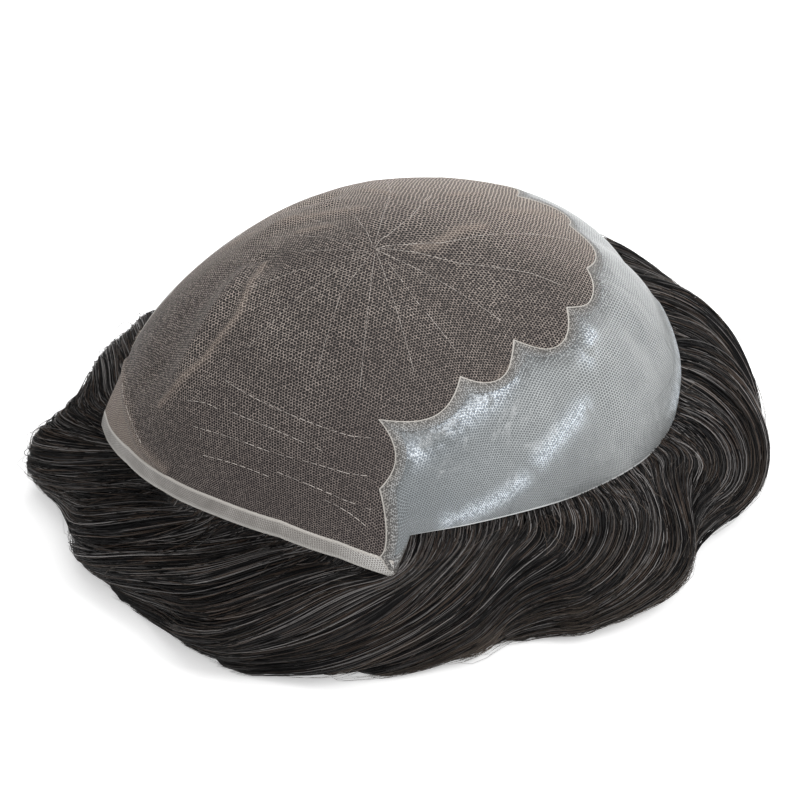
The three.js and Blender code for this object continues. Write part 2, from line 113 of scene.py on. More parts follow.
# from x, y to x, y, then depth and width of a fold
FOLDS = [
    (-29, -37, -23, -73, -1.6, 3.5), (-38, -40, -35, -72, 1.8, 7), (-27, -33, -24, -36, 1.8, 5),
    (-39, -21, -28, 2, -1.2, 4), (-46, 8, -38, 10, 2.2, 4.5), (60, -30, 72, -26, 1.2, 7),
    (58, 2, 74, 8, 1.2, 7), (50, 34, 62, 44, 1.2, 7), (22, 66, 28, 80, 1.2, 7),
]

# Places along a small ripple as toward and reach, then its height and width
LACE_RIPPLES = [
    ([(-140, 0.28), (-122, 0.31), (-112, 0.36), (-109, 0.43), (-107, 0.5), (-108, 0.6), (-109, 0.68)], 0.9, 1.7),
    ([(-137, 0.79), (-128.5, 0.775), (-118, 0.795), (-108.5, 0.845), (-98, 0.865)], 1.0, 1.8),
    ([(-172, 0.48), (-180, 0.31), (-184.5, 0.24), (-214.5, 0.135)], 0.6, 3.0),
    ([(20, 0.1), (34, 0.125), (59.5, 0.175), (64.5, 0.235)], 0.6, 2.6), ([(135, 0.275), (119.5, 0.2)], 0.5, 2.4),
    ([(76.5, 0.325), (77.5, 0.42), (78, 0.51)], 0.5, 2.4), ([(94, 0.255), (89.5, 0.33)], 0.5, 2.2),
    ([(-166, 0.215), (-174.5, 0.135)], 0.4, 2.2),
]
SKIN_RIPPLES = [
    ([(-4, 0.5), (-14, 0.545), (-30, 0.595), (-42, 0.655)], 0.8, 3.4),
    ([(13, 0.67), (1, 0.715), (-7, 0.765)], 0.9, 3.2),
    ([(-13, 0.83), (-26, 0.9), (-35, 0.94)], 0.6, 2.6),
    ([(31, 0.53), (23, 0.56)], 0.6, 2.8),
    ([(66, 0.93), (50, 0.94), (37, 0.95)], 1.2, 3.0),
]

# toward, crest height, how far the roll of hair goes past the cap's edge
ROLL = np.array([
    (-180, 26, 11), (-170, 31, 13.5), (-163, 34.5, 15), (-153, 36, 16), (-148, 32, 17), (-145, 28.5, 23),
    (-142, 27, 28), (-139, 25.5, 28), (-135, 26, 22), (-130, 29.5, 14), (-124, 32, 12), (-116, 34, 15),
    (-108, 35, 12.5), (-100, 35, 8.8), (-92, 35, 8.5), (-84, 35, 13), (-76, 35, 15.2), (-68, 33, 11.5), (-60, 32, 11),
    (-52, 29.5, 9), (-46, 28, 9.5), (-40, 28.8, 11), (-32, 30, 12.8), (-24, 30, 9.5), (-20, 30, 11.5), (-11, 29, 21.5),
    (-4, 28.5, 25), (3, 28, 27.5), (8, 27, 26.5), (12, 26.3, 22), (16, 25.6, 18), (18.5, 25.2, 15.6),
    (20.5, 25, 15), (22.5, 24.7, 18), (24.5, 24.4, 22.5), (30, 24, 25), (36, 24, 24.8), (45, 24, 22.5),
    (60, 26, 21.6), (72, 26, 22.2), (84, 26, 20.2), (100, 26, 20), (120, 26, 20), (150, 25, 17), (180, 26, 11),
], float)
# Outward and up, as shares of the two above, from the cap's edge over the crest to the table
SECTION = np.array([
    (-0.08, 1.12), (0.1, 1.08), (0.34, 1), (0.66, 0.9), (0.92, 0.66), (1, 0.4), (0.9, 0.16), (0.72, 0.04), (0.5, 0),
], float)
# The same under the front strip, where the hair hangs back in the cap's shadow
RECESSED = np.array([
    (-0.8, 1.05), (-0.75, 0.95), (-0.5, 0.82), (0.1, 0.67), (0.72, 0.5), (1, 0.34), (0.9, 0.16), (0.72, 0.04), (0.5, 0),
], float)
# toward, share of the way from the one section to the other
RECESS = np.array([
    (-180, 0), (-144, 0), (-128, 0.85), (-114, 1), (-86, 1), (-68, 0.85), (-56, 0.4), (-46, 0), (180, 0),
], float)
LAST_ROW = len(SECTION) - 1

# toward, how far round the hair drifts from the cap's edge to the table
FLOW = np.array([
    (-180, -32), (-140, -34), (-100, -40), (-60, -44), (-20, -46), (30, -44), (80, -38), (130, -32), (180, -32),
], float)
DRIFT_POWER = 1.5
# toward of a line of combing at the cap's edge, how far round it runs to its tips, how late it bends
COMB = np.array([
    (-180, -38, 1.4), (-160, -40, 1.3), (-140, -42, 1.2), (-120, -46, 1.25), (-100, -50, 1.35), (-80, -55, 1.5),
    (-62, -58, 1.7), (-45, -60, 1.85), (-30, -58, 2), (-10, -56, 2.2), (10, -54, 2.3), (30, -52, 2.3), (60, -48, 2.2),
    (90, -42, 2), (130, -38, 1.6), (180, -38, 1.4),
], float)
TIP_ROW = 6.4

# Locks side by side round the roll, taken over and over: share of the round and of the rise
LOCKS = [(1, 0.8), (1.35, 1.2), (0.75, 0.55), (1.15, 1), (0.85, 0.7), (1.25, 1.1)]
LOCK_REPEATS = 5
TRESS_COUNT = 88
# Of the profiles of locks and tresses
PLACES_A_DEGREE = 4
LOCK_RISE = 5.0
TRESS_RISE = 1.9
STRAND_ROOM = 1.8
LOCK_ACROSS = [0, 0.3, 0.62, 0.88]
LOCK_HEIGHT = [0, 0.72, 1, 0.66]
LOCK_RUN = [0, 0.25, 0.6, 0.85, 1, 1, 0.9, 0.8, 0.7]
FOOT_WIDTH = 13.0
FOOT_LIFT = 0.15
CALM_TOWARD, CALM_SPAN, CALM_SHARE = -140, 20, 0.6
EDGE_SLOPE = 0.9
EDGE_CLEARANCE = 2.0
EDGE_ROUNDING = 7.0
CORE_OUT, CORE_UP = 0.15, 0.25
INNER_WALL_SHARE = 0.7
ROOT_DEPTH = 3.2
ROOT_LAYER = 3.0


def eased(share):
    """A share that starts and ends gently."""
    share = np.clip(share, 0, 1)
    return share * share * (3 - 2 * share)


def half_turns(toward):
    """Directions brought within half a turn either way."""
    return (np.asarray(toward, float) + 180) % 360 - 180


def pointing(toward):
    """The x and y of directions."""
    return np.cos(np.radians(toward)), np.sin(np.radians(toward))


def read_table(rows, column, toward, ease=True):
    """A column of a table at directions between its rows."""
    at = half_turns(toward)
    after = np.clip(np.searchsorted(rows[:, 0], at, side="left"), 1, len(rows) - 1)
    low, high = rows[after - 1], rows[after]
    share = np.clip((at - low[..., 0]) / (high[..., 0] - low[..., 0]), 0, 1)
    share = eased(share) if ease else share
    return low[..., column] + (high[..., column] - low[..., column]) * share


def smoothed_table(rows, column, toward):
    """A column of a table read straight between its rows, then smoothed over a few degrees."""
    return sum(read_table(rows, column, toward + step, ease=False) for step in TABLE_STEPS) / len(TABLE_STEPS)


def side_radius(toward):
    """Distance from the crown to the side and back curve of the cap, seen from above."""
    dx, dy = pointing(toward)
    rise = WIDEST_Y - CROWN_Y

    def hit(depth):
        a = (dx / CAP_HALF_WIDTH) ** 2 + (dy / depth) ** 2
        b = -2 * dy * rise / depth ** 2
        c = (rise / depth) ** 2 - 1
        return (-b + np.sqrt(b * b - 4 * a * c)) / (2 * a)

    front = hit(SIDE_FRONT_REACH)
    return np.where(front * dy < rise, front, hit(SIDE_BACK_REACH))


def hairline_radius(toward):
    """Distance from the crown to the bowed front hairline."""
    dx, dy = pointing(toward)
    dy = np.minimum(dy, -0.05)
    bow = HAIRLINE_BOW * dx * dx / HAIRLINE_HALF_WIDTH ** 2
    ahead = HAIRLINE_CORNER_Y - HAIRLINE_BOW - CROWN_Y
    return 2 * ahead / (dy - np.sqrt(dy * dy - 4 * bow * ahead))


CORNER_BELOW = CROWN_Y - HAIRLINE_CORNER_Y
NEAR_CORNER = -math.degrees(math.atan2(CORNER_BELOW, HAIRLINE_HALF_WIDTH))
FAR_CORNER = -180 - NEAR_CORNER
CORNER_STEP = math.hypot(HAIRLINE_HALF_WIDTH, CORNER_BELOW) - float(side_radius(np.array(NEAR_CORNER)))
NEAR_END = SCALLOP_ROWS[0][0]
FAR_END = SCALLOP_ROWS[-1][0]


def dome_radius(toward):
    """Distance from the crown to the dome's edge, where the front corners are cut short."""
    ahead = pointing(toward)[1] < -0.3
    side = side_radius(toward)
    return np.where(ahead, np.minimum(side, hairline_radius(toward)), side)


def rim_radius(toward):
    """Distance from the crown to the rim: a sharp tab at the near corner, a round turn at the far one."""
    at = half_turns(toward)
    near = at > NEAR_CORNER
    past = np.where(near, at - NEAR_CORNER, FAR_CORNER - at)
    span = np.where(near, CORNER_TAB_SPAN, ROUND_CORNER_SPAN)
    sides = side_radius(at) + CORNER_STEP * np.clip(1 - past / span, 0, None)
    ahead = (at >= FAR_CORNER) & (at <= NEAR_CORNER)
    return np.where(ahead, hairline_radius(at), sides)


def rim_height(toward, hang=1):
    """Height of the cap's free edge, or of the dome's edge where the share that hangs is 0."""
    return smoothed_table(RIM, 1, toward) - read_table(RIM, 2, toward, ease=False) * hang


def fold_depth(x, y):
    """How far the folds sink the cap at a place seen from above."""
    sink = np.zeros_like(x)
    for x1, y1, x2, y2, depth, width in FOLDS:
        along = ((x - x1) * (x2 - x1) + (y - y1) * (y2 - y1)) / ((x2 - x1) ** 2 + (y2 - y1) ** 2)
        along = np.clip(along, 0, 1)
        away = np.hypot(x - x1 - along * (x2 - x1), y - y1 - along * (y2 - y1))
        sink = sink + depth * np.exp(-((away / width) ** 2))
    return sink


def ripple_strength(point, ripples):
    """Small ripples at places on the dome: how high they stand in millimetres, then the share of the nearest."""
    lift, share = np.zeros(point.shape[:-1]), np.zeros(point.shape[:-1])
    for places, height, width in ripples:
        line = dome_point(polar(*np.array(places, float).T))
        nearest = np.full(point.shape[:-1], 1e9)
        for start, stop in zip(line[:-1], line[1:]):
            run = stop - start
            along = np.clip((point - start) @ run / (run @ run), 0, 1)
            nearest = np.minimum(nearest, np.linalg.norm(point - start - along[..., None] * run, axis=-1))
        here = np.exp(-(nearest / width) ** 2)
        lift, share = lift + height * here, np.maximum(share, here)
    return lift, share


def direction_of(disc):
    """Directions of places on the flat pattern."""
    return np.degrees(np.arctan2(disc[..., 1], disc[..., 0]))


def reach_of(disc):
    """How far places on the flat pattern lie from the crown, as a share of the way to the rim."""
    return np.hypot(disc[..., 0], disc[..., 1])


def around_crown(toward, radius, height):
    """Places at a distance from the crown, seen from above, and at a height."""
    dx, dy = pointing(toward)
    return np.stack([radius * dx, CROWN_Y + radius * dy, height], -1)


def dome_point(disc):
    """Places on the smooth dome, given on its flat pattern: a disc of radius 1 with the crown at its centre."""
    reach = np.minimum(reach_of(disc), 1)
    toward = direction_of(disc)
    out = np.sin(reach * np.pi / 2)
    up = np.clip(1 - out ** DOME_FULLNESS, 0, None) ** (1 / DOME_FULLNESS)
    hang = eased((reach - CORNER_START) / (1 - CORNER_START))
    base = dome_radius(toward)
    radius = (base + (rim_radius(toward) - base) * hang) * out
    edge = rim_height(toward, hang)
    return around_crown(toward, radius, edge + (CROWN_HEIGHT - edge) * up)


def dome_normal(disc):
    """Outward directions of the dome."""
    most = (1 - 1.5 * NORMAL_STEP) / np.maximum(reach_of(disc), 1e-9)
    inside = disc * np.minimum(1, most)[..., None]
    across, along = NORMAL_STEP * np.eye(2)
    normal = np.cross(
        dome_point(inside + across) - dome_point(inside - across),
        dome_point(inside + along) - dome_point(inside - along),
    )
    return normal / np.linalg.norm(normal, axis=-1, keepdims=True)


def cap_point(disc, depth=0.0):
    """Places on the cap with its folds, at a depth under the scalp side, in millimetres."""
    point = dome_point(disc)
    sink = fold_depth(point[..., 0], point[..., 1]) - ripple_strength(point, LACE_RIPPLES + SKIN_RIPPLES)[0]
    sink = sink * eased((1 - reach_of(disc)) / FOLD_FADE) + depth
    return point - dome_normal(disc) * sink[..., None]


def polar(toward, reach):
    """A place on the flat pattern."""
    dx, dy = pointing(toward)
    return np.stack([reach * dx, reach * dy], -1)


def above_rim(toward, width):
    """The places a given width above the rim, measured on the dome."""
    toward = np.asarray(toward, float)
    reaches = 1 - PATTERN_STEP * np.arange(WIDEST_STRIP)
    rim = dome_point(polar(toward, 1.0))
    away = np.stack([np.linalg.norm(dome_point(polar(toward, r)) - rim, axis=-1) for r in reaches])
    return polar(toward, reaches[np.argmax(away >= np.asarray(width), axis=0)])


def scallop_line():
    """The lace edge from the near corner round the nape to the far corner, as an arc for each lobe."""
    cusps = [polar(t, r) if r else above_rim(np.array(float(t)), STRIP_WIDTH) for t, r, _, _ in SCALLOP_ROWS]
    line = []
    share = np.arange(LOBE_STEPS)[:, None] / LOBE_STEPS
    for i, (_, _, toward, reach) in enumerate(SCALLOP_ROWS[:-1]):
        control = 2 * polar(toward, reach) - (cusps[i] + cusps[i + 1]) / 2
        line.append((1 - share) ** 2 * cusps[i] + 2 * share * (1 - share) * control + share ** 2 * cusps[i + 1])
    return np.vstack([*line, cusps[-1][None]])


def averaged(line, span):
    """Each place of a line averaged with its neighbours."""
    return np.stack([line[max(0, i - span):i + span + 1].mean(0) for i in range(len(line))])


def outward(line, span):
    """Outward directions square to a line, smoothed over a number of places on either side."""
    smooth = averaged(line, span) if span else line
    ahead = smooth[np.minimum(np.arange(len(line)) + 1, len(line) - 1)]
    behind = smooth[np.maximum(np.arange(len(line)) - 1, 0)]
    along = ahead - behind
    across = np.stack([along[:, 1], -along[:, 0]], -1)
    return across / np.linalg.norm(across, axis=-1, keepdims=True)


def shifted(line, directions, width):
    """A line on the flat pattern moved sideways by a width measured on the dome."""
    step = directions * PATTERN_STEP
    length = np.linalg.norm(dome_point(line) - dome_point(line - step), axis=-1, keepdims=True)
    return line + step * width / length


def along_line(line, share):
    """Places at shares of the way along a line's rows."""
    at = np.clip(share, 0, 1) * (len(line) - 1)
    low = np.minimum(at.astype(int), len(line) - 2)
    return line[low] + (line[low + 1] - line[low]) * (at - low)[..., None]


def toward_of(disc):
    """Directions of places on the flat pattern, counted up from the near corner."""
    return (direction_of(disc) - NEAR_END + CORNER_SLACK) % 360 + NEAR_END - CORNER_SLACK


SCALLOPS = scallop_line()
SEAM_EDGE = shifted(
    SCALLOPS + (averaged(SCALLOPS, LOBE_STEPS // 2) - SCALLOPS) * SEAM_SMOOTHING,
    outward(SCALLOPS, LOBE_STEPS // 2),
    SEAM_WIDTH,
)


def strip_width(toward):
    """Width of the front strip, which narrows round the far corner."""
    past = eased((toward - FAR_END) / (360 + FAR_CORNER - FAR_END))
    return STRIP_WIDTH * (STRIP_NARROWING + (1 - STRIP_NARROWING) * past)


def linked(name, data):
    """A new object in the scene."""
    made = bpy.data.objects.new(name, data)
    bpy.context.scene.collection.objects.link(made)
    return made


def smooth_object(name, mesh):
    """A new smooth-shaded object in the scene."""
    mesh.polygons.foreach_set("use_smooth", [True] * len(mesh.polygons))
    return linked(name, mesh)


def bent_grid(name, columns, rows, place, pattern=None, marks=None):
    """A grid bent into place: place(u, v) gives millimetres, pattern(u, v) its flat map, marks named values."""
    bm = bmesh.new()
    bmesh.ops.create_grid(bm, x_segments=columns, y_segments=rows, size=0.5)
    grid = np.array([v.co[:2] for v in bm.verts]) + 0.5
    points = (place(grid[:, 0], grid[:, 1]) + LAID) * MM
    flat = grid if pattern is None else pattern(grid[:, 0], grid[:, 1])
    layer = bm.loops.layers.uv.new("OFBake")
    for face in bm.faces:
        for loop in face.loops:
            loop[layer].uv = flat[loop.vert.index]
    for vert, point in zip(bm.verts, points):
        vert.co = point
    for label, mark in (marks or {}).items():
        layer = bm.verts.layers.float.new(label)
        for vert, value in zip(bm.verts, mark(grid[:, 0], grid[:, 1])):
            vert[layer] = value
    bmesh.ops.remove_doubles(bm, verts=bm.verts, dist=MERGE)
    bmesh.ops.dissolve_degenerate(bm, edges=bm.edges, dist=1e-7)
    return new_piece(name, bm)


def new_piece(name, bm):
    """A smooth-shaded object from a bmesh, in the model's frame."""
    mesh = bpy.data.meshes.new(name)
    bm.to_mesh(mesh)
    bm.free()
    return smooth_object(name, mesh)


def joined(name, pieces):
    """Several pieces made one, with the doubles along their edges merged."""
    bm = bmesh.new()
    for piece in pieces:
        bm.from_mesh(piece.data)
        bpy.data.objects.remove(piece)
    bmesh.ops.remove_doubles(bm, verts=bm.verts, dist=MERGE)
    return new_piece(name, bm)


def cap_grid(name, columns, rows, disc, proud=0.0, marks=None):
    """A sheet of the cap: disc(u, v) is its flat pattern, marks the values worked out from u, v and the pattern."""
    def mark(rule):
        return lambda u, v: rule(u, v, disc(u, v))

    return bent_grid(
        name, columns, rows,
        lambda u, v: cap_point(disc(u, v), -proud),
        lambda u, v: 0.5 + MAP_SCALE * disc(u, v),
        {label: mark(rule) for label, rule in (marks or {}).items()},
    )


def between(inner, outer):
    """A grid's flat pattern: from an inner line to an outer one with as many places."""
    def disc(u, v):
        start = along_line(inner, u)
        return start + (along_line(outer, u) - start) * v[:, None]

    return disc


def reworked(piece, work):
    """A piece with work done on its faces."""
    bm = bmesh.new()
    bm.from_mesh(piece.data)
    work(bm)
    bm.to_mesh(piece.data)
    bm.free()
    return piece


def walled(piece, thickness):
    """Turns a sheet's faces outwards, away from the middle of the dome, and gives it its wall on the inner side."""
    middle = Vector((LAID[0] * MM, (CROWN_Y + LAID[1]) * MM, 0.0))

    def turned_out(bm):
        away = sum(f.normal.dot(f.calc_center_median() - middle) * f.calc_area() for f in bm.faces)
        if away < 0:
            bmesh.ops.reverse_faces(bm, faces=bm.faces)

    wall = reworked(piece, turned_out).modifiers.new("wall", "SOLIDIFY")
    wall.thickness = thickness * MM
    wall.offset = -1
    return piece


def fold_mark(u, v, disc):
    """Share of a small ripple's crest at places on the flat pattern; the lace and skin finishes paint highlights there.
    """
    return ripple_strength(dome_point(disc), LACE_RIPPLES + SKIN_RIPPLES)[1]


# toward and reach of the loose loop of lace that lies doubled along the front strip
LOOP = np.array([
    (-158, 1), (-150, 0.87), (-145, 0.83), (-137, 0.79), (-128.5, 0.77), (-122.5, 0.775), (-118, 0.795),
    (-113, 0.82), (-108.5, 0.845), (-100, 0.862), (-90, 0.9), (-78, 1),
])


def doubled_mark(u, v, disc):
    """Share of the doubled lace between its loose loop and the front strip."""
    loop = np.interp(direction_of(disc), LOOP[:, 0], LOOP[:, 1])
    return eased((reach_of(disc) - loop) / LOOP_EDGE)


def across_mark(u, v, disc):
    """Share of the way across a sheet, from its inner to its outer edge."""
    return v


def lace_crown():
    """The lace: rings out to the scallops and across the front, then rows down to the front strip."""
    edge = shifted(SCALLOPS, outward(SCALLOPS, LOBE_STEPS // 4), UNDER_TRIM)
    corner = CORNER_LOBES * LOBE_STEPS
    near_line = edge[:corner + 1][::-1]
    far_line = edge[-1 - corner:]

    def front(u, v):
        far, near = along_line(far_line, v), along_line(near_line, v)
        turn = 360 + toward_of(near) - toward_of(far)
        toward = toward_of(far) + turn * u
        start = np.linalg.norm(far_line[0]) * (1 - u) + np.linalg.norm(near_line[0]) * u
        stop = np.linalg.norm(above_rim(toward, strip_width(toward) - UNDER_TRIM), axis=-1)
        disc = polar(toward, start + (stop - start) * v)
        side = np.where(u[:, None] < 0.5, far, near)
        blend = np.clip(1 - np.minimum(u, 1 - u)[:, None] * FORE_BLEND, 0, 1)
        return disc * (1 - blend) + side * blend

    across = np.linspace(0, 1, FORE_EDGE + 1)[1:-1]
    loop = np.vstack([edge[corner:-corner], front(across, np.zeros_like(across)), edge[corner][None]])

    def crown(u, v):
        return along_line(loop, u) * v[:, None]

    marks = {"fold": fold_mark, "doubled": doubled_mark}
    middle = cap_grid("lace_middle", len(loop) - 1, CLOTH_ROWS, crown, marks=marks)
    fore = cap_grid("lace_fore", FORE_COLUMNS, CLOTH_ROWS, front, marks=marks)
    return walled(joined("lace_net", [middle, fore]), LACE_WALL)


def front_strip():
    """The pale strip along the forehead."""
    def disc(u, v):
        toward = FAR_END + (360 + NEAR_CORNER - FAR_END) * u
        inner = above_rim(toward, strip_width(toward))
        return inner + (polar(toward, 1.0) - inner) * v[:, None]

    marks = {"across": across_mark, "along": lambda u, v, place: u}
    return walled(cap_grid("front_binding", STRIP_COLUMNS, TRIM_ROWS, disc, STRIP_PROUD, marks), TRIM_WALL)


def scallop_seam():
    """The lap where lace and skin are bonded, along the scallops and down to the tab at the near corner."""
    inner = np.vstack([polar(NEAR_CORNER, 1.0)[None], SCALLOPS, polar(FAR_END, 1.0)[None]])
    outer = np.vstack([
        polar(NEAR_CORNER + CORNER_TAB_SPAN, 1.0)[None], SEAM_EDGE, polar(FAR_END - CORNER_TAB_SPAN, 1.0)[None],
    ])
    columns = 2 * (len(inner) - 1)
    disc = between(inner, outer)
    return walled(cap_grid("scallop_lap", columns, TRIM_ROWS, disc, TRIM_PROUD, {"across": across_mark}), TRIM_WALL)


def skin_perimeter():
    """The thin skin round the sides and nape, which starts under the seam and ends at the rim."""
    inner = shifted(SEAM_EDGE, outward(SEAM_EDGE, LOBE_STEPS // 2), -UNDER_TRIM)
    corner = CORNER_LOBES * LOBE_STEPS
    near_edge = NEAR_CORNER + CORNER_TAB_SPAN - SKIN_SIDE
    far_edge = FAR_END - CORNER_TAB_SPAN + SKIN_SIDE
    toward = toward_of(inner)
    number = np.arange(len(inner))
    from_end = len(inner) - 1 - number
    near_share = np.clip(1 - (toward - toward[corner]) / FAN_FADE, 0, None)
    far_share = np.clip(1 - (toward[-1 - corner] - toward) / FAN_FADE, 0, None)
    edge = toward + (near_edge + SKIN_FAN - toward[corner]) * near_share
    edge = edge + (far_edge - SKIN_FAN - toward[-1 - corner]) * far_share
    edge = np.where(number < corner, near_edge + SKIN_FAN * number / corner, edge)
    edge = np.where(from_end < corner, far_edge - SKIN_FAN * from_end / corner, edge)
    columns = 2 * (len(inner) - 1)
    marks = {"across": across_mark, "fold": fold_mark}
    return walled(cap_grid("skin_film", columns, CLOTH_ROWS, between(inner, polar(edge, 1.0)), marks=marks), LACE_WALL)


def section_at(section, row, column):
    """A section of the roll between its rows, on a smooth curve."""
    low = np.clip(row.astype(int), 0, LAST_ROW - 1)
    share = row - low
    values = section[:, column]
    before, here, after = values[np.maximum(low - 1, 0)], values[low], values[low + 1]
    beyond = values[np.minimum(low + 2, LAST_ROW)]
    return 0.5 * (
        2 * here + (after - before) * share
        + (2 * before - 5 * here + 4 * after - beyond) * share ** 2
        + (3 * here - before - 3 * after + beyond) * share ** 3
    )


def inside_rim(toward, inset, height):
    """Places at a distance inside the rim, seen from above, with the corners of the rim eased."""
    radius = sum(rim_radius(toward + step) for step in RIM_STEPS) / len(RIM_STEPS) - inset
    return around_crown(toward, radius, height)


def drifted(start, row):
    """Directions that columns of the hair's body reach at a row."""
    return start + smoothed_table(FLOW, 1, start) * np.clip(row / LAST_ROW, 0, 1) ** DRIFT_POWER


def combed(line, row):
    """Directions that lines of combing reach at a row, and how far they are pressed together there."""
    bend = np.clip(row / TIP_ROW, 0, 1) ** smoothed_table(COMB, 2, line)
    slope = (smoothed_table(COMB, 1, line + 2) - smoothed_table(COMB, 1, line - 2)) / 4
    return line + smoothed_table(COMB, 1, line) * bend, np.clip(1 + slope * bend, 0.3, 1)


def comb_line(toward, row):
    """The lines of combing that pass through directions at one row."""
    lines = np.arange(-540.0, 541.0)
    reached = np.maximum.accumulate(combed(lines, np.full_like(lines, row))[0])
    return np.interp(toward, reached, lines)


def roll_point(toward, row, rise, lift=0.0):
    """Places on the roll of hair: a direction, a row of the section, the surface's rise there and a lift off it."""
    crest, past, set_back = read_table(ROLL, 1, toward), read_table(ROLL, 2, toward), read_table(RECESS, 1, toward)
    out = section_at(SECTION, row, 0) * (1 - set_back) + section_at(RECESSED, row, 0) * set_back
    up = section_at(SECTION, row, 1) * (1 - set_back) + section_at(RECESSED, row, 1) * set_back
    out, up = out * past, up * crest
    away_out, away_up = out - CORE_OUT * past, up - CORE_UP * crest
    length = np.maximum(np.hypot(away_out, away_up), 1e-6)
    away_out, away_up = away_out / length, away_up / length
    out, up = out + away_out * rise, up + away_up * rise
    ceiling = rim_height(toward) - EDGE_CLEARANCE + EDGE_SLOPE * np.clip(out - 0.5, 0, None)
    share = np.clip(0.5 + (ceiling - up) / EDGE_ROUNDING / 2, 0, 1)
    up = up * share + ceiling * (1 - share) - EDGE_ROUNDING * share * (1 - share)
    return inside_rim(toward, -out - away_out * lift, np.maximum(up + away_up * lift, FOOT_LIFT))


def round_profile(locks):
    """Rise of locks side by side round the roll, every quarter of a degree."""
    whole = sum(width for width, _ in locks)
    turn, rise, start = [], [], 0.0
    for width, height in locks:
        span = 360 * width / whole
        turn += [start + span * across for across in LOCK_ACROSS]
        rise += [height * level for level in LOCK_HEIGHT]
        start += span
    fine = np.interp(np.arange(360 * PLACES_A_DEGREE) / PLACES_A_DEGREE, turn + [360.0], rise + [rise[0]])
    return sum(np.roll(fine, shift) for shift in range(-3, 4)) / 7


def profile_at(profile, toward):
    """A rise between the quarter degrees of a profile."""
    at = ((toward + 180) % 360) * PLACES_A_DEGREE
    low = at.astype(int) % len(profile)
    return profile[low] + (profile[(low + 1) % len(profile)] - profile[low]) * (at - np.floor(at))


tress_chance = np.random.default_rng(5)
TRESSES = list(zip(0.4 + tress_chance.random(TRESS_COUNT), 0.25 + 0.75 * tress_chance.random(TRESS_COUNT)))
LOCK_PROFILE = round_profile(LOCKS * LOCK_REPEATS)
TRESS_PROFILE = round_profile(TRESSES)


def lock_rise(line, row):
    """Rise of the locks along lines of combing, with uneven tresses on them, set down to leave room for strands."""
    run = np.interp(row, np.arange(LAST_ROW + 1), LOCK_RUN)
    sway = 1.2 * np.sin(np.radians(4 * line) + 0.6 * row)
    rise = LOCK_RISE * profile_at(LOCK_PROFILE, line) + TRESS_RISE * profile_at(TRESS_PROFILE, line + sway)
    toward, pressed = combed(line, row)
    calm = 1 - CALM_SHARE * np.exp(-(half_turns(toward - CALM_TOWARD) / CALM_SPAN) ** 2)
    return run * pressed * calm * rise - STRAND_ROOM * run


ROOT_REACH = 0.955
TOP_REACHES = [0, 0.25, 0.5, 0.7, 0.82, 0.9, 0.94]
UNDERSIDE_REACHES = [0.92, 0.86, 0.8, 0.72, 0.6, 0.45, 0.3, 0.15, 0]


def hair_mass():
    """The hair as one closed body: roots under the whole cap, the roll in locks, its foot and its inner wall."""
    levels = [("top", reach) for reach in TOP_REACHES]
    levels += [("roll", LAST_ROW * i / ROLL_ROWS) for i in range(ROLL_ROWS + 1)]
    levels += [("heel", 0.0), ("heel", INNER_WALL_SHARE / 2), ("heel", INNER_WALL_SHARE)]
    levels += [("underside", reach) for reach in UNDERSIDE_REACHES]

    def level(kind, value, start):
        if kind == "roll":
            row = np.full_like(start, value)
            toward = drifted(start, row)
            return roll_point(toward, row, lock_rise(comb_line(toward, value), row))
        if kind == "heel":
            toward = start + smoothed_table(FLOW, 1, start) * (1 - value / INNER_WALL_SHARE / 2)
            return inside_rim(toward, FOOT_WIDTH, FOOT_LIFT + read_table(ROLL, 1, toward) * value)
        depth = ROOT_DEPTH if kind == "top" else ROOT_DEPTH + ROOT_LAYER
        return cap_point(polar(start, np.full_like(start, value)), depth)

    def place(u, v):
        number = np.rint(v * (len(levels) - 1)).astype(int)
        points = np.zeros((len(u), 3))
        for i, (kind, value) in enumerate(levels):
            chosen = number == i
            points[chosen] = level(kind, value, -180 + 360 * u[chosen])
        return points

    mass = bent_grid("hair_mass", MASS_COLUMNS, len(levels) - 1, place)
    return reworked(mass, lambda bm: bmesh.ops.recalc_face_normals(bm, faces=bm.faces))


def strand_mesh(name, paths, widths, shade):
    """Strands as thin three-sided tubes: paths is strands by points in millimetres, widths their thickness."""
    ring = bpy.data.curves.new(name + "_ring", "CURVE")
    ring.dimensions = "2D"
    side = ring.splines.new("POLY")
    side.points.add(2)
    for i, point in enumerate(side.points):
        turn = math.radians(120 * i)
        point.co = (0.5 * MM * math.cos(turn), 0.5 * MM * math.sin(turn), 0, 1)
    side.use_cyclic_u = True
    ring_object = linked(name + "_ring", ring)
    curve = bpy.data.curves.new(name, "CURVE")
    curve.dimensions = "3D"
    curve.bevel_mode = "OBJECT"
    curve.bevel_object = ring_object
    curve.use_fill_caps = True
    count, points = paths.shape[:2]
    places = np.concatenate([(paths + LAID) * MM, np.ones((count, points, 1))], -1)
    for path, width in zip(places, widths):
        spline = curve.splines.new("POLY")
        spline.points.add(points - 1)
        spline.points.foreach_set("co", path.ravel())
        spline.points.foreach_set("radius", width)
    carrier = linked(name + "_curve", curve)
    mesh = bpy.data.meshes.new_from_object(carrier.evaluated_get(bpy.context.evaluated_depsgraph_get()))
    for thing in (carrier, ring_object):
        bpy.data.objects.remove(thing)
    mesh.name = name
    each = len(mesh.vertices) // count
    corner = np.zeros(len(mesh.loops), np.int32)
    mesh.loops.foreach_get("vertex_index", corner)
    strand = np.minimum(corner // each, count - 1)
    run = (corner % each) // 3 / (points - 1)
    for layer in list(mesh.uv_layers):
        mesh.uv_layers.remove(layer)
    spots = 0.02 + 0.96 * np.stack([shade[strand], run], -1)
    mesh.uv_layers.new(name="OFBake").data.foreach_set("uv", spots.astype(np.float32).ravel())
    return smooth_object(name, mesh)
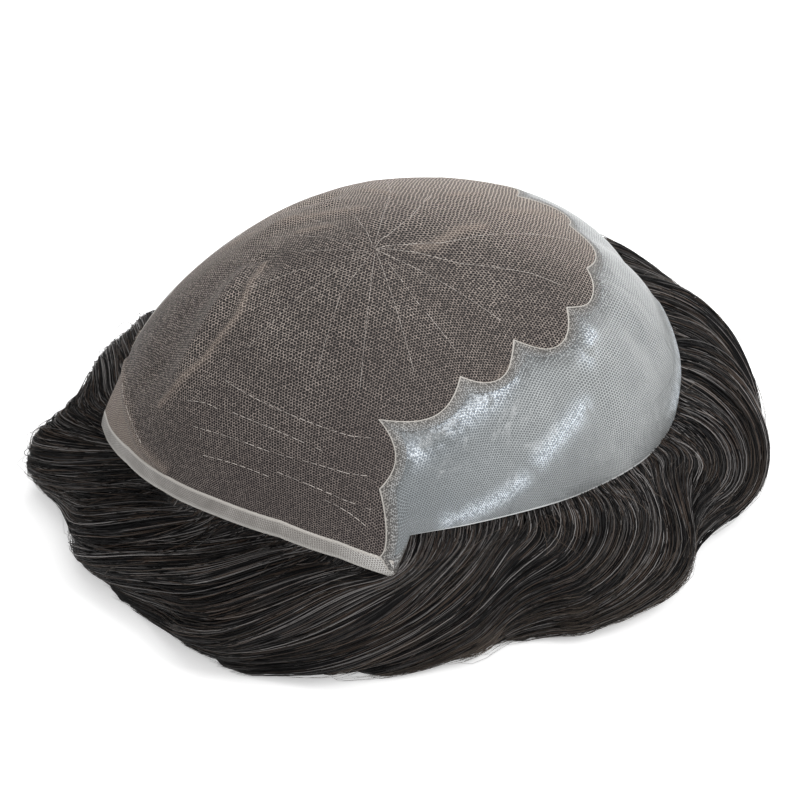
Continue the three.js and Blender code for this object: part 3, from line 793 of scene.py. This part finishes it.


# toward, how much darker the strands' colour is made there, as painted shade for that side; below 0 it is made lighter,
# as painted light
SHADED = np.array([
    (-180, 0.5), (-165, 0.9), (-150, 1.1), (-135, 1.3), (-112, 2.1), (-88, 1.3), (-65, 0.1), (-50, -1.0), (-15, -1.3),
    (5, -0.5), (30, 0.5), (50, 1.5), (70, 2.2), (100, 1.9), (150, 0.4), (180, 0.5),
], float)
STRAND_POINTS = 22
STRANDS_A_PIECE = 1500
CLUMPS = 300
# Of the strands: share from the root, how far they draw together, the thinnest, and a strand's taper along it
FROM_ROOT = 0.65
DRAWN_TOGETHER = 0.35
STRAND_WIDTH, STRAND_WIDTH_RANGE = 0.22, 0.16
TAPER_AT, TAPER = [0, 0.08, 0.7, 0.85, 1], [0.7, 1, 1, 0.75, 0.2]
# How light they are, how much less the painted shade of the table above makes them, and how uneven
TONE, SHADING, TONE_SPREAD = 0.57, 0.34, 0.15
# Of the loose hairs: how many, how many of them low at the near side, points, width and taper
FLYAWAYS, LOW_DOWN, FLYAWAY_POINTS, FLYAWAY_WIDTH = 1100, 260, 13, 0.12
FLYAWAY_TAPER = [0.8] + [1.0] * 9 + [0.8, 0.6, 0.35]
LOWEST_ROW = 7.2
SETTLE_ROWS = 3.0
EVEN_ROW = 3.5
# Length of a row of the section and of a degree round the roll, in millimetres
ROW_LENGTH = 8.0
DEGREE_LENGTH = 1.8


def strand_path(line, row, lift, stray=0.0):
    """Places along strands: they hang from roots under the cap's edge and follow a line of combing on the roll."""
    on_roll = np.maximum(row, 0)
    toward = combed(line, on_roll)[0] + stray
    surface = roll_point(toward, on_roll, lock_rise(line, on_roll), lift)
    edge = roll_point(toward, np.zeros_like(row), np.zeros_like(row))
    root = cap_point(polar(toward, np.full_like(row, ROOT_REACH)), 1.1)
    hang = np.clip(1 - (row + 1) / SETTLE_ROWS, 0, 1)[..., None] ** 2
    return surface + (root - edge) * hang


def spaced_rows(line, begin, end, points):
    """Rows from a begin to an end on each line of combing, at even distances along it."""
    fine = begin[:, None] + (end - begin)[:, None] * np.linspace(0, 1, 80)
    toward = combed(line[:, None] + np.zeros_like(fine), np.maximum(fine, 0))[0]
    steps = np.hypot(ROW_LENGTH * np.diff(fine, axis=1), DEGREE_LENGTH * np.diff(toward, axis=1))
    far = np.concatenate([np.zeros((len(fine), 1)), np.cumsum(steps, axis=1)], axis=1)
    return np.stack([np.interp(np.linspace(0, f[-1], points), f, rows) for f, rows in zip(far, fine)])


def evened(paths):
    """Strand paths with their sharp turns eased and their ends kept."""
    for _ in range(3):
        middle = (paths[:, :-2] + 2 * paths[:, 1:-1] + paths[:, 2:]) / 4
        paths = np.concatenate([paths[:, :1], middle, paths[:, -1:]], axis=1)
    return paths


def hair_strands(number):
    """Strands that follow the locks over the roll, drawn together at their tips."""
    chance = np.random.default_rng(100 + number)
    count = STRANDS_A_PIECE
    clump = np.floor(chance.random(count) * CLUMPS)
    middle = comb_line(-180 + 360 * (clump + 0.5) / CLUMPS + np.sin(clump * 12.9) * 0.5, EVEN_ROW)
    start = middle + chance.normal(0, 1.2, count)
    from_root = chance.random(count) < FROM_ROOT
    begin = np.where(from_root, -1 + 0.6 * chance.random(count), 3 * chance.random(count) ** 1.5)
    loose = read_table(RECESS, 1, middle)
    begin = begin + 1.4 * from_root * loose
    end = 4.7 + 2.2 * chance.random(count)
    share = np.linspace(0, 1, STRAND_POINTS)
    row = spaced_rows(start, begin, end, STRAND_POINTS)
    pull = eased(row / LAST_ROW) * DRAWN_TOGETHER
    turn = np.radians(middle)[:, None]
    wave = 1.6 * np.sin(turn * 5 + row * 0.95) * eased(row / 5) + 0.25 * np.sin(turn * 13 + row * 1.9)
    line = start[:, None] + (middle - start)[:, None] * pull + np.zeros_like(row)
    stray = wave + (chance.normal(0, 1.5, count) * (1 + loose))[:, None] * row / LAST_ROW
    stray = stray + (chance.normal(0, 1.0, count) * (1.3 + 3.7 * loose))[:, None] * np.sin(np.pi * share)
    lift = 0.3 + (0.25 + 1.1 * chance.random(count) ** 2)[:, None] * np.sin(np.pi * (0.1 + 0.8 * share))
    paths = evened(strand_path(line, row, lift, stray))
    taper = np.interp(share, TAPER_AT, TAPER)
    thick = (STRAND_WIDTH + STRAND_WIDTH_RANGE * chance.random(count))[:, None] * taper
    tone = TONE + 0.11 * np.sin(clump * 7.7) + 0.09 * np.sin(np.radians(middle) * 23 + 1)
    # Painted shade and painted light by direction round the roll, from the table above
    shaded = smoothed_table(SHADED, 1, combed(middle, np.full_like(middle, EVEN_ROW))[0])
    tone = tone - SHADING * shaded + chance.normal(0, TONE_SPREAD, count)
    return strand_mesh(f"hair_strands_{number}", paths, thick, np.clip(tone, 0, 1))


def flyaways():
    """Thin single hairs that lift off the locks and cross them, most of all low at the near side."""
    chance = np.random.default_rng(7)
    count = FLYAWAYS
    share = np.linspace(0, 1, FLYAWAY_POINTS)
    start = -180 + 360 * chance.random(count)
    begin = -0.5 + chance.random(count) * 5
    start[:LOW_DOWN] = 5 + 42 * chance.random(LOW_DOWN)
    begin[:LOW_DOWN] = 4 + 1.6 * chance.random(LOW_DOWN)
    length = 1 + 2.2 * chance.random(count)
    row = spaced_rows(start, begin, np.minimum(begin + length, LOWEST_ROW), FLYAWAY_POINTS)
    stray = chance.normal(0, 6.0, count)[:, None] * share + chance.normal(0, 6.0, count)[:, None] * share ** 2
    line = start[:, None] + np.zeros_like(row)
    lift = 0.2 + (0.4 + 2.2 * chance.random(count) ** 2)[:, None] * np.sin(np.pi * (0.05 + 0.85 * share))
    lift = lift * np.clip((7.6 - row) / 2.6, 0, 1)
    paths = strand_path(line, row, lift, stray)
    thick = np.full((count, 1), FLYAWAY_WIDTH) * np.array(FLYAWAY_TAPER)
    return strand_mesh("hair_flyaways", paths, thick, chance.random(count))


# from toward, reach to toward, reach: single lines of stitching near the front
STITCH_ROWS = [
    (-97, 0.51, -50, 0.585), (-103, 0.62, -92, 0.59), (-89, 0.58, -63, 0.62), (-97, 0.67, -75, 0.655),
    (-74, 0.655, -51, 0.7), (-91, 0.74, -73, 0.735), (-73, 0.71, -51, 0.8), (-94, 0.67, -92, 0.735),
    (-62, 0.77, -52, 0.85), (-127, 0.77, -106, 0.84),
]
# toward and reach of places along the stitching that runs out from the crown
CROWN_SEAMS = [
    [(-52, 0.055), (-20, 0.1), (5, 0.265), (9.5, 0.38)], [(-52, 0.055), (25.5, 0.195), (40.5, 0.335), (42, 0.43)],
    [(-52, 0.055), (38.5, 0.135), (57, 0.225), (64, 0.36), (66.5, 0.515)], [(-52, 0.05), (87.5, 0.105), (100.5, 0.235)],
    [(-58, 0.06), (-95, 0.22), (-96.5, 0.325), (-97, 0.42)],
    [(-60, 0.06), (-110.5, 0.16), (-118.5, 0.255), (-123, 0.36)],
    [(-66, 0.06), (-128.5, 0.145), (-143.5, 0.26), (-151.5, 0.4)], [(-66, 0.055), (-156, 0.175), (-165, 0.3)],
    [(-55, 0.06), (-73.5, 0.195), (-71.5, 0.29), (-70, 0.42)], [(-50, 0.06), (-55, 0.285), (-55.5, 0.455)],
    [(-45, 0.06), (-24.5, 0.23), (-18, 0.39)], [(-48, 0.06), (-38, 0.27), (-37, 0.43)],
    [(-52, 0.05), (120, 0.2), (125, 0.35)], [(-52, 0.05), (150, 0.2), (148, 0.4)],
    [(-52, 0.05), (178, 0.2), (172, 0.42)],
]


# Along a stitch: shares of its length, how far it stands proud there, and its width; and the share left out
STITCH_AT, STITCH_PROUD, STITCH_TAPER = [0, 0.18, 0.5, 0.82, 1.0], [-0.12, 0.06, 0.12, 0.06, -0.12], [0.6, 1, 1, 1, 0.6]
STITCHES_MISSED = 0.06


def stitches(name, lines, pitch, length, width, seed):
    """Short raised threads along lines on the flat pattern."""
    chance = np.random.default_rng(seed)
    paths = []
    for line in lines:
        run = np.linspace(0, 1, 400)
        track = cap_point(line(run), -0.02)
        far = np.concatenate([[0], np.cumsum(np.linalg.norm(np.diff(track, axis=0), axis=1))])
        for begin in np.arange(0.4, far[-1] - length, pitch):
            begin = begin + chance.normal(0, pitch * 0.06)
            if chance.random() < STITCHES_MISSED:
                continue
            disc = line(np.interp(begin + length * np.array(STITCH_AT), far, run))
            paths.append(cap_point(disc) + dome_normal(disc) * np.array(STITCH_PROUD)[:, None])
    paths = np.array(paths)
    widths = np.full(paths.shape[:2], width) * np.array(STITCH_TAPER)
    return strand_mesh(name, paths, widths, chance.random(len(paths)))


def front_stitches():
    """The dashed lines of stitching behind the hairline."""
    def line(t1, r1, t2, r2):
        return lambda share: polar(t1 + (t2 - t1) * share, r1 + (r2 - r1) * share - 0.012 * np.sin(np.pi * share))

    return stitches("front_stitches", [line(*row) for row in STITCH_ROWS], 2.5, 2.2, 0.21, 3)


def crown_stitches():
    """The fine lines of stitching that run out from the crown."""
    def line(places):
        corners = polar(*np.array(places, float).T)
        return lambda share: along_line(corners, share)

    return stitches("crown_stitches", [line(row) for row in CROWN_SEAMS], 1.7, 1.6, 0.23, 4)


def node(tree, kind, inputs=None, **settings):
    """A node with its settings, its plain values set and its links made."""
    made = tree.nodes.new(kind)
    for key, value in settings.items():
        setattr(made, key, value)
    for key, value in (inputs or {}).items():
        if isinstance(value, bpy.types.NodeSocket):
            tree.links.new(value, made.inputs[key])
        else:
            made.inputs[key].default_value = value
    return made


def maths(tree, operation, *values):
    """A number worked out from others."""
    return node(tree, "ShaderNodeMath", dict(enumerate(values)), operation=operation).outputs[0]


def times(tree, first, second):
    """The product of two numbers."""
    return maths(tree, "MULTIPLY", first, second)


def vectors(tree, operation, *values, out=0):
    """A vector worked out from others."""
    return node(tree, "ShaderNodeVectorMath", dict(enumerate(values)), operation=operation).outputs[out]


def scaled(tree, vector, scale):
    """A vector times a number."""
    return node(tree, "ShaderNodeVectorMath", {0: vector, "Scale": scale}, operation="SCALE").outputs[0]


def noise(tree, vector, scale, detail, **more):
    """A cloud texture's value from 0 to 1."""
    inputs = {"Vector": vector, "Scale": scale, "Detail": detail, **more}
    return node(tree, "ShaderNodeTexNoise", inputs).outputs["Fac"]


def ranged(tree, value, low, high, to_low=0.0, to_high=1.0):
    """A number moved from one range to another."""
    inputs = {"Value": value, "From Min": low, "From Max": high, "To Min": to_low, "To Max": to_high}
    return node(tree, "ShaderNodeMapRange", inputs).outputs["Result"]


def mixed(tree, factor, first, second):
    """A colour between two others."""
    return node(tree, "ShaderNodeMix", {0: factor, 6: first, 7: second}, data_type="RGBA").outputs[2]


def group(name, values, results):
    """A new shader node group, with a vector and named numbers in and numbers out: (tree, its input, its output)."""
    tree = bpy.data.node_groups.new(name, "ShaderNodeTree")
    tree.interface.new_socket("Vector", in_out="INPUT", socket_type="NodeSocketVector")
    for label, value in values.items():
        tree.interface.new_socket(label, in_out="INPUT", socket_type="NodeSocketFloat").default_value = value
    for label in results:
        tree.interface.new_socket(label, in_out="OUTPUT", socket_type="NodeSocketFloat")
    return tree, tree.nodes.new("NodeGroupInput"), tree.nodes.new("NodeGroupOutput")


def hex_net_group():
    """A net of six-sided holes: the thread's mask and height, from a vector in millimetres."""
    tree, given, gives = group(
        "hex_net", {"Pitch": 0.8, "Hole": 0.36, "Softness": 0.06, "Wander": 0.1}, ["Thread", "Height"],
    )
    wander = node(tree, "ShaderNodeTexNoise", {"Vector": given.outputs["Vector"], "Scale": 0.35, "Detail": 2.0})
    shift = vectors(tree, "SUBTRACT", wander.outputs["Color"], (0.5, 0.5, 0.5))
    moved = vectors(tree, "ADD", given.outputs["Vector"], scaled(tree, shift, given.outputs["Wander"]))
    pitch = given.outputs["Pitch"]
    size = node(tree, "ShaderNodeCombineXYZ", {"X": pitch, "Y": pitch, "Z": 1.0}).outputs[0]
    cells = vectors(tree, "ADD", vectors(tree, "DIVIDE", moved, size), (1000.0, 1732.0508, 0.0))
    ratio, half, flat = (1.0, 1.7320508, 1.0), (0.5, 0.8660254, 0.0), (1.0, 1.0, 0.0)
    first = vectors(tree, "SUBTRACT", vectors(tree, "MODULO", cells, ratio), half)
    second = vectors(tree, "SUBTRACT", vectors(tree, "MODULO", vectors(tree, "ADD", cells, half), ratio), half)
    first, second = vectors(tree, "MULTIPLY", first, flat), vectors(tree, "MULTIPLY", second, flat)
    nearer = maths(
        tree, "LESS_THAN",
        vectors(tree, "LENGTH", first, out="Value"), vectors(tree, "LENGTH", second, out="Value"),
    )
    cell = node(tree, "ShaderNodeMix", {0: nearer, 4: second, 5: first}, data_type="VECTOR").outputs[1]
    from_middle = vectors(tree, "ABSOLUTE", cell)
    slant = vectors(tree, "DOT_PRODUCT", from_middle, half, out="Value")
    straight = vectors(tree, "DOT_PRODUCT", from_middle, (1.0, 0.0, 0.0), out="Value")
    round_size = vectors(tree, "LENGTH", cell, out="Value")
    sided = times(tree, maths(tree, "MAXIMUM", slant, straight), 0.6)
    edge = maths(tree, "ADD", sided, times(tree, round_size, 0.4))
    low = maths(tree, "SUBTRACT", given.outputs["Hole"], given.outputs["Softness"])
    high = maths(tree, "ADD", given.outputs["Hole"], given.outputs["Softness"])
    tree.links.new(ranged(tree, edge, low, high), gives.inputs["Thread"])
    tree.links.new(ranged(tree, edge, low, 0.5), gives.inputs["Height"])
    return tree


def mottle_group():
    """Slow variation over a surface: a factor from 0 to 1."""
    tree, given, gives = group("slow_mottle", {"Scale": 40.0, "Contrast": 1.0}, ["Factor"])
    cloud = noise(tree, given.outputs["Vector"], given.outputs["Scale"], 4.0, Roughness=0.6)
    centred = maths(tree, "SUBTRACT", cloud, 0.5)
    spread = maths(tree, "MULTIPLY_ADD", centred, times(tree, given.outputs["Contrast"], 3.0), 0.5)
    tree.links.new(ranged(tree, spread, 0.0, 1.0), gives.inputs["Factor"])
    return tree


HEX_NET = hex_net_group()
MOTTLE = mottle_group()


def material(name, roughness, specular):
    """A new material: (material, tree, its shader's inputs)."""
    made = bpy.data.materials.new(name)
    made.use_nodes = True
    inputs = made.node_tree.nodes["Principled BSDF"].inputs
    inputs["Roughness"].default_value = roughness
    inputs["Specular IOR Level"].default_value = specular
    return made, made.node_tree, inputs


def coloured(tree, inputs, colour):
    """Feeds the shader its colour."""
    tree.links.new(colour, inputs["Base Color"])


def bumped(tree, inputs, height, strength, distance, **more):
    """Feeds the shader a fine relief from a height, with its distance in metres."""
    values = {"Strength": strength, "Distance": distance, "Height": height, **more}
    tree.links.new(node(tree, "ShaderNodeBump", values).outputs["Normal"], inputs["Normal"])


def own_map(tree):
    """The piece's own map."""
    return node(tree, "ShaderNodeUVMap", uv_map="OFBake").outputs["UV"]


def shade_and_run(tree):
    """What a strand's map says: its shade, and how far along it a place is."""
    parts = node(tree, "ShaderNodeSeparateXYZ", {"Vector": own_map(tree)}).outputs
    return parts["X"], parts["Y"]


def flat_pattern(tree):
    """The cap's flat pattern in millimetres."""
    return scaled(tree, own_map(tree), ARC_MM / MAP_SCALE)


def object_place(tree):
    """Places on the piece, in metres."""
    return tree.nodes.new("ShaderNodeTexCoord").outputs["Object"]


def netted(tree, pitch, hole, softness, wander):
    """The shared net on the cap's flat pattern: its thread's mask and its height."""
    values = {"Vector": flat_pattern(tree), "Pitch": pitch, "Hole": hole, "Softness": softness, "Wander": wander}
    made = node(tree, "ShaderNodeGroup", values, node_tree=HEX_NET)
    return made.outputs["Thread"], made.outputs["Height"]


def mottled(tree, scale, contrast):
    """The shared slow variation over a piece."""
    values = {"Vector": object_place(tree), "Scale": scale, "Contrast": contrast}
    return node(tree, "ShaderNodeGroup", values, node_tree=MOTTLE).outputs["Factor"]


def marked(tree, label):
    """A named value that a piece's vertices carry."""
    return node(tree, "ShaderNodeAttribute", attribute_name=label).outputs["Fac"]


def lace_finish():
    """Brown-grey net over dark hair, tan where it lies doubled, with painted tan highlights on its ripples' crests,
    painted light toward the crown's top and darker toward the near corner.
    """
    made, tree, shader = material("lace_net_finish", 0.7, 0.25)
    on_thread, height = netted(tree, 0.9, 0.38, 0.03, 1.0)
    patch = mottled(tree, 45.0, 0.9)
    speck = mottled(tree, 1100.0, 2.2)
    thread = mixed(tree, patch, (0.3, 0.25, 0.222, 1), (0.5, 0.43, 0.385, 1))
    thread = mixed(tree, times(tree, speck, 0.8), thread, (0.06, 0.05, 0.047, 1))
    # Painted light: the threads are made lighter toward the crown's top and back, standing in for the light there and
    # the slanting view that makes the net look paler. Darker toward the near corner: partly the dark hair showing
    # through the net, partly painted shade.
    away = vectors(tree, "DOT_PRODUCT", object_place(tree), (-0.63, 0.78, 0.0), out="Value")
    painted_top_light = times(tree, ranged(tree, away, -0.005, 0.04), 0.85)
    corner_hair_through_and_shade = times(tree, ranged(tree, away, -0.035, -0.075), 0.55)
    thread = mixed(tree, painted_top_light, thread, (0.7, 0.6, 0.53, 1))
    thread = mixed(tree, corner_hair_through_and_shade, thread, (0.14, 0.112, 0.108, 1))
    # Painted highlight: threads and holes along the ripples' crests are made paler tan; where the lace lies doubled the
    # paler tan is its own colour.
    crest = maths(tree, "POWER", marked(tree, "fold"), 2.0)
    pale = maths(tree, "MAXIMUM", times(tree, crest, 0.8), marked(tree, "doubled"))
    thread = mixed(tree, times(tree, pale, 0.6), thread, (0.44, 0.365, 0.31, 1))
    hole = mixed(tree, pale, (0.008, 0.0065, 0.0065, 1), (0.1, 0.08, 0.068, 1))
    coloured(tree, shader, mixed(tree, on_thread, hole, thread))
    bumped(tree, shader, height, 0.8, 0.0003)
    return made


def skin_finish():
    """Silvery, glossy thin film over a fine net, with painted near-white highlights on the net along its ripples,
    grainy near the seam, pale along its rim.
    """
    made, tree, shader = material("skin_film_finish", 0.3, 0.8)
    place = object_place(tree)
    thread, height = netted(tree, 1.0, 0.37, 0.04, 0.6)
    patch = mottled(tree, 30.0, 1.0)
    cloud = mottled(tree, 120.0, 1.1)
    # Darker at the near side, partly the dark hair showing through the film and partly painted shade where it faces
    # down; lighter toward the nape.
    toward_nape = ranged(tree, node(tree, "ShaderNodeSeparateXYZ", {"Vector": place}).outputs["Y"], -0.055, 0.01)
    near = mixed(tree, patch, (0.18, 0.203, 0.217, 1), (0.32, 0.348, 0.363, 1))
    back = mixed(tree, patch, (0.41, 0.428, 0.428, 1), (0.59, 0.612, 0.612, 1))
    base = mixed(tree, toward_nape, near, back)
    base = mixed(tree, times(tree, cloud, 0.4), base, (0.2, 0.215, 0.22, 1))
    grain = noise(tree, place, 1500.0, 2.0)
    margin = ranged(tree, marked(tree, "across"), 0.13, 0.03)
    base = mixed(tree, times(tree, margin, ranged(tree, grain, 0.62, 0.42)), base, (0.08, 0.08, 0.077, 1))
    # Painted highlight: along the ripples' crests the colour is made near-white and the holes bluish, standing in for
    # the shine of the film on the net.
    gleam = times(tree, marked(tree, "fold"), ranged(tree, cloud, 0.05, 0.5))
    shine = times(tree, gleam, ranged(tree, grain, 0.4, 0.54))
    base = mixed(tree, shine, base, (0.9, 0.96, 1, 1))
    fill = mixed(tree, gleam, (0.07, 0.078, 0.083, 1), (0.15, 0.185, 0.235, 1))
    fill = mixed(tree, 0.12, fill, base)
    base = mixed(tree, thread, fill, base)
    rim = ranged(tree, marked(tree, "across"), 0.962, 0.98)
    coloured(tree, shader, mixed(tree, rim, base, (0.75, 0.77, 0.77, 1)))
    ripple = noise(tree, place, 95.0, 3.0, Distortion=0.6)
    soft = node(tree, "ShaderNodeBump", {"Strength": 0.5, "Distance": 0.003, "Height": ripple})
    bumped(tree, shader, height, 0.6, 0.0003, Normal=soft.outputs["Normal"])
    return made


def seam_finish():
    """Grainy bonded lap between lace and skin: a pale line at the lace, then grain that fades into the skin."""
    made, tree, shader = material("seam_finish", 0.5, 0.4)
    thread, _ = netted(tree, 0.84, 0.39, 0.07, 0.8)
    grain = noise(tree, object_place(tree), 1500.0, 2.0)
    speck = ranged(tree, grain, 0.42, 0.58)
    across = marked(tree, "across")
    grainy = mixed(tree, speck, (0.065, 0.062, 0.057, 1), (0.37, 0.355, 0.335, 1))
    smooth = mixed(tree, speck, (0.18, 0.19, 0.195, 1), (0.38, 0.4, 0.41, 1))
    base = mixed(tree, ranged(tree, across, 0.3, 1.0), grainy, smooth)
    darker = mixed(tree, 0.85, base, (0.05, 0.045, 0.042, 1))
    base = mixed(tree, thread, darker, base)
    line = ranged(tree, across, 0.13, 0.05)
    coloured(tree, shader, mixed(tree, line, base, (0.46, 0.435, 0.4, 1)))
    bumped(tree, shader, grain, 0.6, 0.0002)
    return made


def strip_finish():
    """Pale folded tape with a fine net in it, whitish near the tab, with a thin line along its inner edge."""
    made, tree, shader = material("strip_finish", 0.45, 0.4)
    thread, height = netted(tree, 1.0, 0.36, 0.04, 0.5)
    patch = mottled(tree, 160.0, 0.8)
    base = mixed(tree, patch, (0.22, 0.207, 0.192, 1), (0.38, 0.363, 0.34, 1))
    tab = ranged(tree, marked(tree, "along"), 0.87, 0.96)
    base = mixed(tree, times(tree, tab, 0.7), base, (0.68, 0.67, 0.65, 1))
    tree.links.new(ranged(tree, tab, 0.0, 1.0, 0.45, 0.22), shader["Roughness"])
    fill = mixed(tree, 0.85, base, (0.13, 0.117, 0.108, 1))
    base = mixed(tree, thread, fill, base)
    across = marked(tree, "across")
    base = mixed(tree, times(tree, ranged(tree, across, 0.65, 0.9), 0.5), base, (0.55, 0.53, 0.5, 1))
    line = ranged(tree, across, 0.16, 0.08)
    coloured(tree, shader, mixed(tree, line, base, (0.44, 0.415, 0.385, 1)))
    bumped(tree, shader, height, 0.5, 0.0002)
    return made


def mass_finish():
    """Near-black hair with fine streaks along the flow."""
    made, tree, shader = material("hair_mass_finish", 0.5, 0.12)
    fine = noise(tree, vectors(tree, "MULTIPLY", own_map(tree), (900.0, 9.0, 1.0)), 1.0, 3.0, Roughness=0.65)
    wide = noise(tree, vectors(tree, "MULTIPLY", own_map(tree), (150.0, 5.0, 1.0)), 1.0, 2.0)
    light = times(tree, ranged(tree, fine, 0.42, 0.72), ranged(tree, wide, 0.35, 0.65))
    coloured(tree, shader, mixed(tree, light, (0.004, 0.0038, 0.0038, 1), (0.015, 0.014, 0.0138, 1)))
    bumped(tree, shader, maths(tree, "ADD", fine, wide), 0.7, 0.0006)
    return made


def strand_finish(name, dark, light, roughness):
    """Single hairs: each has its own shade, with painted shade near its root where the cap's edge shades it, and a
    little browner to its tip.
    """
    made, tree, shader = material(name, roughness, 0.14)
    shade, run = shade_and_run(tree)
    base = mixed(tree, maths(tree, "POWER", shade, 3.0), dark, light)
    # Painted shade: the first part of each strand is darkened toward its root, for the shade under the cap's edge.
    base = mixed(tree, ranged(tree, run, 0.3, 0.05, 0.0, 0.6), base, dark)
    tip = ranged(tree, run, 0.8, 1.0, 0.0, 0.6)
    tree.links.new(ranged(tree, shade, 0.1, 0.6, roughness + 0.22, roughness), shader["Roughness"])
    coloured(tree, shader, mixed(tree, tip, base, (0.1, 0.072, 0.056, 1)))
    return made


def thread_finish():
    """Pale sewing thread."""
    made, tree, shader = material("thread_finish", 0.6, 0.3)
    coloured(tree, shader, mixed(tree, shade_and_run(tree)[0], (0.24, 0.215, 0.2, 1), (0.58, 0.53, 0.49, 1)))
    return made


def dressed(piece, finish, slot, *nodes):
    """Gives a piece its material and body and hides the solids it stands for; the slot is not used."""
    piece.data.materials.clear()
    piece.data.materials.append(finish)
    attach(piece, "root")
    if nodes:
        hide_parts(*nodes)


# The photograph's view: degrees round and up, distance in metres, the height that it looks at, lens and shift
VIEW_TURN, VIEW_LIFT, VIEW_AWAY, VIEW_HEIGHT = 38.9, 37.0, 1.2, 0.033
LENS, SHIFT_X, SHIFT_Y = 177.12, -0.0004, -0.0284
LIGHTS_TARGET = Vector((0, 0, 0.05))
# Name, place, size and power of each soft light
LIGHTS = [
    ("window_light", (0.75, 0.2, 0.9), 0.5, 7.0), ("top_light", (-0.25, 0.15, 1.2), 1.0, 5.0),
    ("fill_light", (0.6, -0.6, 1.05), 0.6, 2.6), ("back_light", (-0.45, 0.9, 0.8), 0.6, 4.0),
]


def camera():
    """The camera at the photograph's angle."""
    turn, lift = math.radians(VIEW_TURN), math.radians(VIEW_LIFT)
    back = Vector((math.sin(turn) * math.cos(lift), -math.cos(turn) * math.cos(lift), math.sin(lift)))
    lens = bpy.data.cameras.new("camera")
    lens.lens = LENS
    lens.sensor_width = 36
    lens.shift_x, lens.shift_y = SHIFT_X, SHIFT_Y
    lens.clip_end = 20
    view = linked("camera", lens)
    view.location = Vector((LAID[0] * MM, LAID[1] * MM, VIEW_HEIGHT)) + VIEW_AWAY * back
    view.rotation_euler = (-back).to_track_quat("-Z", "Y").to_euler()
    bpy.context.scene.camera = view


def soft_light(name, place, size, power):
    """A square soft light that faces the piece."""
    data = bpy.data.lights.new(name, "AREA")
    data.shape = "SQUARE"
    data.size = size
    data.energy = power
    lamp = linked(name, data)
    lamp.location = place
    lamp.rotation_euler = (LIGHTS_TARGET - Vector(place)).to_track_quat("-Z", "Y").to_euler()


def studio():
    """A pale floor, soft lights and a bright surround."""
    bm = bmesh.new()
    bmesh.ops.create_grid(bm, x_segments=1, y_segments=1, size=4)
    floor = new_piece("floor", bm)
    made, _, shader = material("floor_finish", 0.9, 0.1)
    shader["Base Color"].default_value = (0.8, 0.8, 0.8, 1)
    shader["Emission Color"].default_value = (1, 1, 1, 1)
    shader["Emission Strength"].default_value = 0.45
    floor.data.materials.append(made)
    for light in LIGHTS:
        soft_light(*light)
    world = bpy.data.worlds.new("surround")
    world.use_nodes = True
    inputs = world.node_tree.nodes["Background"].inputs
    inputs["Color"].default_value = (1, 1, 1, 1)
    inputs["Strength"].default_value = 0.5
    bpy.context.scene.world = world
    bpy.context.scene.view_settings.view_transform = "Standard"


camera()
studio()

dressed(lace_crown(), lace_finish(), "lace", "lace_crown")
dressed(scallop_seam(), seam_finish(), "seam", "scallop_seam")
dressed(skin_perimeter(), skin_finish(), "skin", "skin_perimeter")
dressed(front_strip(), strip_finish(), "strip", "front_strip")
dressed(front_stitches(), thread_finish(), "seam")
dressed(crown_stitches(), thread_finish(), "seam")
dressed(hair_mass(), mass_finish(), "hair", "hair")
strand_look = strand_finish("strand_finish", (0.0053, 0.0051, 0.0056, 1), (0.25, 0.237, 0.232, 1), 0.36)
flyaway_look = strand_finish("flyaway_finish", (0.03, 0.025, 0.021, 1), (0.16, 0.13, 0.105, 1), 0.45)
for number in range(4):
    dressed(hair_strands(number), strand_look, "hair")
dressed(flyaways(), flyaway_look, "hair")
